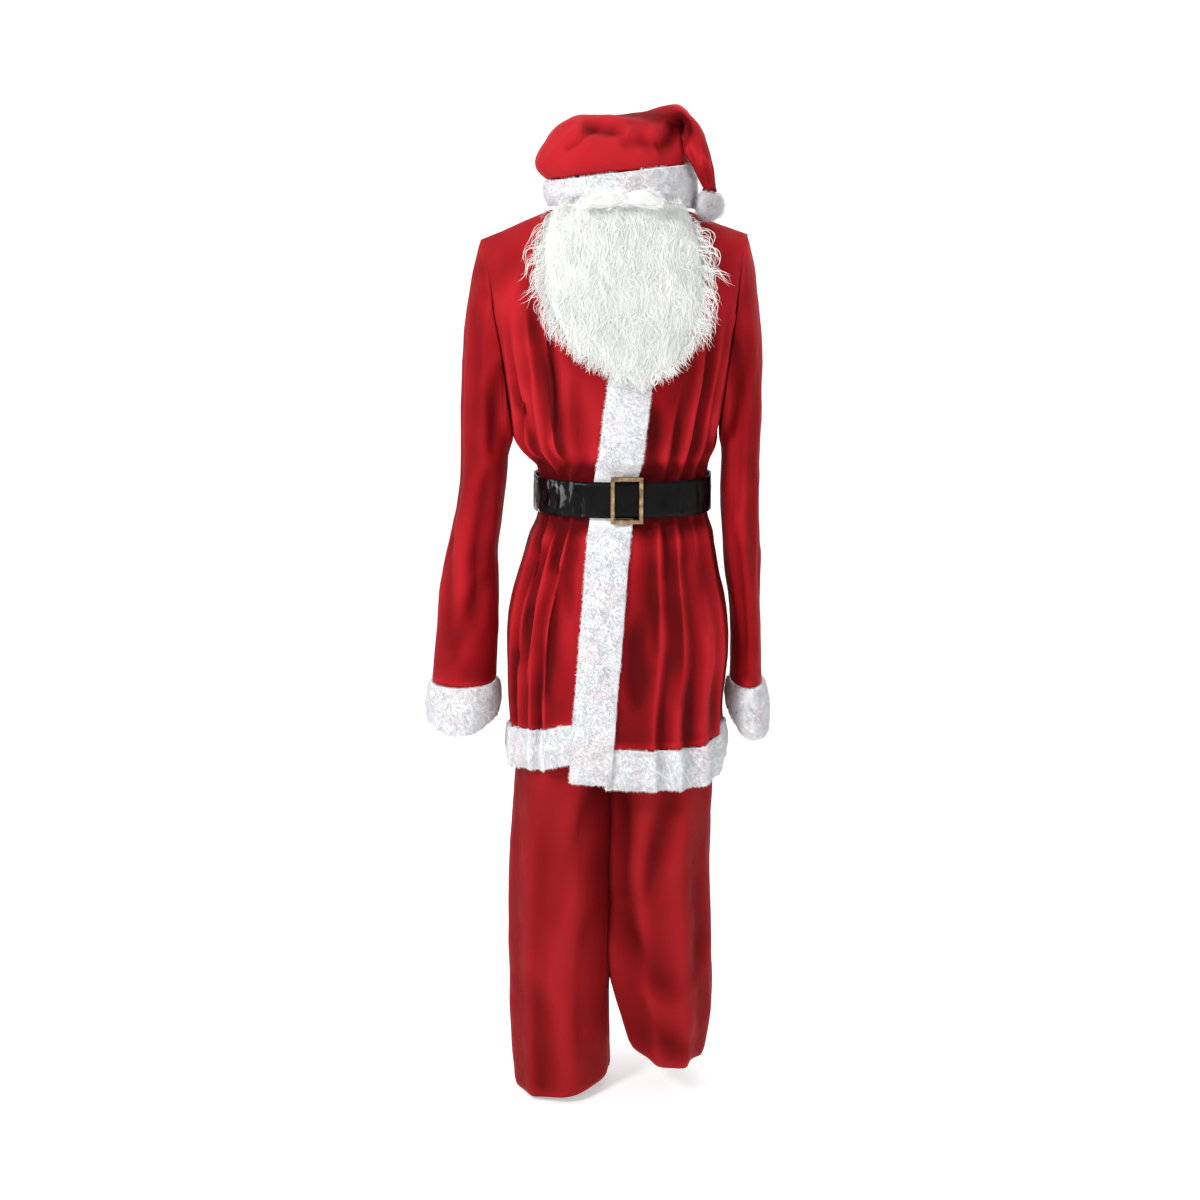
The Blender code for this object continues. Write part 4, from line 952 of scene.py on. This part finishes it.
# Edges of the beard from its foot up: the x of the wearer's right and left side.
BeardEdge = namedtuple("BeardEdge", "height right left")
BEARD_EDGES = [
    BeardEdge(-0.222, 0.018, 0.038),
    BeardEdge(-0.208, 0.003, 0.050),
    BeardEdge(-0.193, -0.034, 0.074),
    BeardEdge(-0.166, -0.068, 0.096),
    BeardEdge(-0.132, -0.090, 0.109),
    BeardEdge(-0.092, -0.101, 0.113),
    BeardEdge(0.013, -0.094, 0.100),
]
WAVE_SIZE = 0.030  # across one soft wave of the fibre
LAYER_GAP = 5.0  # between the layers of one wave pattern, so that they differ
TEMPOS = (0.35, 0.95)
NO_BODY_DEPTH = -0.12
# Each kind of fibre: lengths, radii and lifts off the body are each from a least to a most.
Fibre = namedtuple("Fibre", "name count lengths radii lifts wave curl layers")
LOCKS = Fibre("beard_locks", 3200, (0.016, 0.055), (0.00028, 0.0006), (0.0004, 0.0034), 1.7, 0.7, 5)
TUFTS = Fibre("beard_tufts", 2600, (0.008, 0.020), (0.0002, 0.00045), (0.001, 0.0042), 1.8, 1.2, 6)
FLUFF = Fibre("beard_fluff", 420, (0.005, 0.011), (0.0002, 0.00045), (0.0005, 0.003), 1.0, 1.0, 6)
WISPS = Fibre("beard_wisps", 900, (0.006, 0.021), (0.00010, 0.00022), (0.000, 0.003), 1.0, 0.8, 12)
MOUSTACHE_LOCKS = Fibre(
    "moustache_locks", 1500, (0.008, 0.016), (0.0002, 0.0005), (0.0002, 0.0012), 0.5, 0.45, 3
)
LOCK_PAST_FOOT = 0.012
BEARD_FACING = 0.25  # a face is taken as the front's where its normal's y is below this
MOUSTACHE_FACING = 0.5


def edge_at(column, heights):
    """The x of the beard's right or left side at some heights."""
    levels = [row.height for row in BEARD_EDGES]
    return np.interp(heights, levels, [getattr(row, column) for row in BEARD_EDGES])


def foot_under(across):
    """Height of the beard's edge straight below a place."""
    rising = BEARD_EDGES[:-1]
    right = np.interp(-across, [-row.right for row in rising], [row.height for row in rising])
    left = np.interp(across, [row.left for row in rising], [row.height for row in rising])
    return np.maximum(right, left)


def combed(roots, reach, lean, kind):
    """Paths from their roots that bend together in soft waves, each with a curl of its own.

    A lean of 0 falls straight down, and pi / 2 points towards the wearer's left.
    """
    count = len(roots)
    stride = reach / (STRAND_STEPS - 1)
    phase = rng.uniform(0, 2 * math.pi, count)
    tempo = rng.uniform(*TEMPOS, count)
    curl = rng.uniform(0.4, 1.0, count) * kind.curl
    layer = rng.integers(0, kind.layers, count) * LAYER_GAP
    place = roots.copy()
    paths = [place.copy()]
    for index in range(1, STRAND_STEPS):
        spots = zip(place[:, 0] / WAVE_SIZE, layer, place[:, 2] / WAVE_SIZE)
        drift = np.array([noise.noise(spot) for spot in spots])
        turn = phase + tempo * index
        angle = lean + kind.wave * drift + curl * np.sin(turn)
        place[:, 0] += stride * np.sin(angle)
        place[:, 2] -= stride * np.cos(angle)
        place[:, 1] = 0.25 * stride * curl * np.cos(turn)
        paths.append(place.copy())
    return np.stack(paths, axis=1)


def settled(paths, mesh, lift):
    """Lays each path on a body's front, a little proud of it, and keeps it level past the edge."""
    faces = [tuple(face.vertices) for face in mesh.polygons]
    tree = BVHTree.FromPolygons([point.co for point in mesh.vertices], faces)
    ahead = Vector((0, 1, 0))
    for path, proud in zip(paths, lift):
        depth = None
        for place in path:
            hit = tree.ray_cast(Vector((place[0], -1, place[2])), ahead)[0]
            depth = hit.y if hit is not None else depth
            place[1] += (depth if depth is not None else NO_BODY_DEPTH) - proud
    return paths


def side_share(places):
    """-1 on the beard's right edge, 1 on its left edge."""
    right, left = edge_at("right", places[:, 2]), edge_at("left", places[:, 2])
    return np.clip((2 * places[:, 0] - right - left) / (left - right), -1, 1)


rng = np.random.default_rng(41)
beard = soft_core("beard", "beard_body", 0.004, 2, 14)
hung(beard, "beard_fibre", curled_fibre, "beard")


def front_roots(mesh, count, facing):
    """Places on the side of a body that faces forward, with no depth of their own."""
    roots, _ = sampled(mesh, count, rng, lambda centres, normals: (normals[:, 1] < facing) * 1.0)
    return roots * (1, 0, 1)


def fibre_laid(kind, roots, reach, lean, body):
    """Combs one kind of fibre from its roots, lays it on a body and makes its mesh."""
    paths = combed(roots, reach, lean, kind)
    settled(paths, body.data, rng.uniform(*kind.lifts, len(roots)))
    strands(kind.name, paths, rng.uniform(*kind.radii, len(roots)))


roots = front_roots(beard.data, LOCKS.count, BEARD_FACING)
share = side_share(roots)
room = roots[:, 2] - foot_under(roots[:, 0]) + rng.uniform(0.000, LOCK_PAST_FOOT, LOCKS.count)
fibre_laid(LOCKS, roots, np.clip(room, *LOCKS.lengths), 0.30 * share * np.abs(share), beard)

# Shorter tufts stand out of the locks and turn every way.
roots = front_roots(beard.data, TUFTS.count, BEARD_FACING)
lean = rng.normal(0, 0.9, TUFTS.count) + 0.5 * side_share(roots)
fibre_laid(TUFTS, roots, rng.uniform(*TUFTS.lengths, TUFTS.count), lean, beard)

# Fluff along the top edge, which lies over the foot of the hat's band.
across = rng.uniform(-0.074, 0.080, FLUFF.count)
roots = np.stack([across, 0 * across, rng.uniform(0.000, 0.012, FLUFF.count)], axis=1)
lean = rng.normal(math.pi, 0.9, FLUFF.count)
fibre_laid(FLUFF, roots, rng.uniform(*FLUFF.lengths, FLUFF.count), lean, beard)

# Fine wisps stand out past the beard's sides and foot, shorter towards the top.
height = rng.uniform(-0.216, -0.004, WISPS.count)
way = rng.choice((-1.0, 1.0), WISPS.count)
edge = np.where(way > 0, edge_at("left", height), edge_at("right", height))
roots = np.stack([edge - way * rng.uniform(0.001, 0.016, WISPS.count), 0 * edge, height], axis=1)
reach = rng.uniform(*WISPS.lengths, WISPS.count)
reach *= np.interp(height, (-0.22, -0.10, -0.03, 0.0), (0.8, 1.0, 0.7, 0.4))
fibre_laid(WISPS, roots, reach, way * rng.uniform(0.1, 1.1, WISPS.count), beard)

MOUTH_X = 0.014
MOUSTACHE_ENDS = (-0.050, 0.055)
moustache = soft_core("moustache", "moustache_body", 0.001, 2, 15)
hung(moustache, "beard_fibre", curled_fibre, "moustache")
roots = front_roots(moustache.data, MOUSTACHE_LOCKS.count, MOUSTACHE_FACING)
outward = np.where(roots[:, 0] > MOUTH_X, 1.0, -1.0)
room = np.where(outward > 0, MOUSTACHE_ENDS[1] - roots[:, 0], roots[:, 0] - MOUSTACHE_ENDS[0])
reach = rng.uniform(*MOUSTACHE_LOCKS.lengths, len(roots)) * np.clip(0.4 + room / 0.03, 0.4, 1)
fibre_laid(MOUSTACHE_LOCKS, roots, reach, outward * rng.normal(1.5, 0.22, len(roots)), moustache)


# ---- Elastic: a narrow knitted band from the beard's top corners round inside the hat.
def elastic():
    finish = Finish("knitted elastic", 0.85)
    ribs = finish.node(
        "ShaderNodeTexWave",
        {"wave_type": "BANDS", "bands_direction": "Z"},
        Vector=finish.place,
        Scale=260.0,
        Distortion=0.4,
    )
    height = Amount(finish, ribs.outputs["Fac"])
    finish.feed("Base Color", finish.ramp(height, (0.0, (0.62, 0.62, 0.60)), (0.7, (0.84, 0.84, 0.82))))
    finish.relief(height, 0.0004, 0.6)
    return finish.material


nodes["beard_elastic"].data.materials.clear()
nodes["beard_elastic"].data.materials.append(elastic())


# ---- Belt: a strap of patent vinyl on a woven back, wrinkled where the waist draws it in, run
# through a square slide buckle of browned brass.
BELT_WALL = 0.0020


def patent():
    """Black vinyl, dull where it lies flat and with a hard glaze on its wrinkles at the wearer's right."""
    finish = Finish("patent vinyl", 0.4)
    haze = finish.noise(40.0, 4.0)
    jet, slate = (0.3, (0.001, 0.001, 0.0012)), (0.7, (0.004, 0.004, 0.0045))
    finish.feed("Base Color", finish.ramp(haze, jet, slate))
    finish.feed("Roughness", finish.grey(haze, 0.30, 0.48, 0.35, 0.7))
    across = Amount(finish, finish.node("ShaderNodeSeparateXYZ", None, finish.place).outputs["X"])
    glazed = finish.grey(across, 1.0, 0.0, -0.072, -0.040)
    streaks = finish.noise(95.0, 3.0, finish.stretched((1.0, 1.0, 0.25)), 0.6)
    ridge = finish.grey(streaks, 0.0, 1.0, 0.53, 0.62)
    finish.feed("Coat Weight", glazed * ridge)
    finish.shader.inputs["Coat Roughness"].default_value = 0.10
    finish.shader.inputs["Coat IOR"].default_value = 2.6
    finish.shader.inputs["Specular IOR Level"].default_value = 0.10
    wrinkle = finish.noise(110.0, 3.0, finish.stretched((0.8, 0.8, 0.45)))
    finish.relief(wrinkle, 0.0014, 0.4)
    return finish.material


BELT_CREASES = [
    Crease("front", [(-0.106, -0.352), (-0.094, -0.372), (-0.104, -0.394)], 0.0030, 0.0022),
    Crease("front", [(-0.092, -0.350), (-0.078, -0.368), (-0.090, -0.396)], 0.0026, 0.0020),
    Crease("front", [(-0.074, -0.352), (-0.066, -0.376), (-0.072, -0.396)], 0.0024, 0.0016),
    Crease("front", [(-0.052, -0.354), (-0.046, -0.374), (-0.050, -0.394)], 0.0028, 0.0012),
    Crease("front", [(0.052, -0.352), (0.058, -0.374), (0.054, -0.396)], 0.0028, 0.0014),
    Crease("front", [(0.082, -0.350), (0.090, -0.372), (0.084, -0.394)], 0.0026, 0.0016),
    Crease("front", [(0.106, -0.352), (0.112, -0.376), (0.108, -0.394)], 0.0026, 0.0018),
    Crease("back", [(-0.070, -0.352), (-0.060, -0.374), (-0.070, -0.394)], 0.0030, 0.0016),
    Crease("back", [(0.020, -0.352), (0.028, -0.372), (0.022, -0.394)], 0.0030, 0.0014),
    Crease("back", [(0.088, -0.352), (0.080, -0.374), (0.090, -0.394)], 0.0028, 0.0018),
]
belt = outer_sheet("belt_strap", "vinyl_belt", (0.007, 0.0, -0.373), 3)
creased(belt, BELT_CREASES)
unevened(belt, 0.03, 0.0010, 16)
walled(belt, BELT_WALL)
hung(belt, "belt_vinyl", patent(), "belt_strap")

BUCKLE_EDGE = 0.0011
FLAT_ANGLE = math.radians(2)


def brass():
    finish = Finish("browned brass", 0.34, 1.0)
    tarnish = finish.noise(120.0, 4.0)
    browned = (0.3, (0.16, 0.10, 0.06))
    worn = (0.55, (0.34, 0.22, 0.12))
    bright = (0.75, (0.62, 0.46, 0.22))
    finish.feed("Base Color", finish.ramp(tarnish, browned, worn, bright))
    finish.feed("Roughness", finish.grey(tarnish, 0.25, 0.5, 0.3, 0.7))
    finish.relief(finish.noise(900.0, 2.0), 0.0002, 0.4)
    return finish.material


shape = bmesh.new()
shape.from_mesh(nodes["belt_buckle"].data)
bmesh.ops.remove_doubles(shape, verts=shape.verts, dist=WELD)
bmesh.ops.dissolve_limit(shape, angle_limit=FLAT_ANGLE, verts=shape.verts, edges=shape.edges)
mesh = bpy.data.meshes.new("brass_buckle")
shape.to_mesh(mesh)
shape.free()
buckle = bpy.data.objects.new("brass_buckle", mesh)
bpy.context.scene.collection.objects.link(buckle)
edges = buckle.modifiers.new("Edges", "BEVEL")
edges.width = BUCKLE_EDGE
edges.segments = 3
edges.limit_method = "ANGLE"
applied(buckle, edges)
buckle.data.polygons.foreach_set("use_smooth", [True] * len(buckle.data.polygons))
hung(buckle, "buckle_metal", brass(), "belt_buckle")


# ---- What each sheet was cut to, and the size of the whole.
for node, panel in body_panels.items():
    cut = BODY_PANELS[node][1]

low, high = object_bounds()
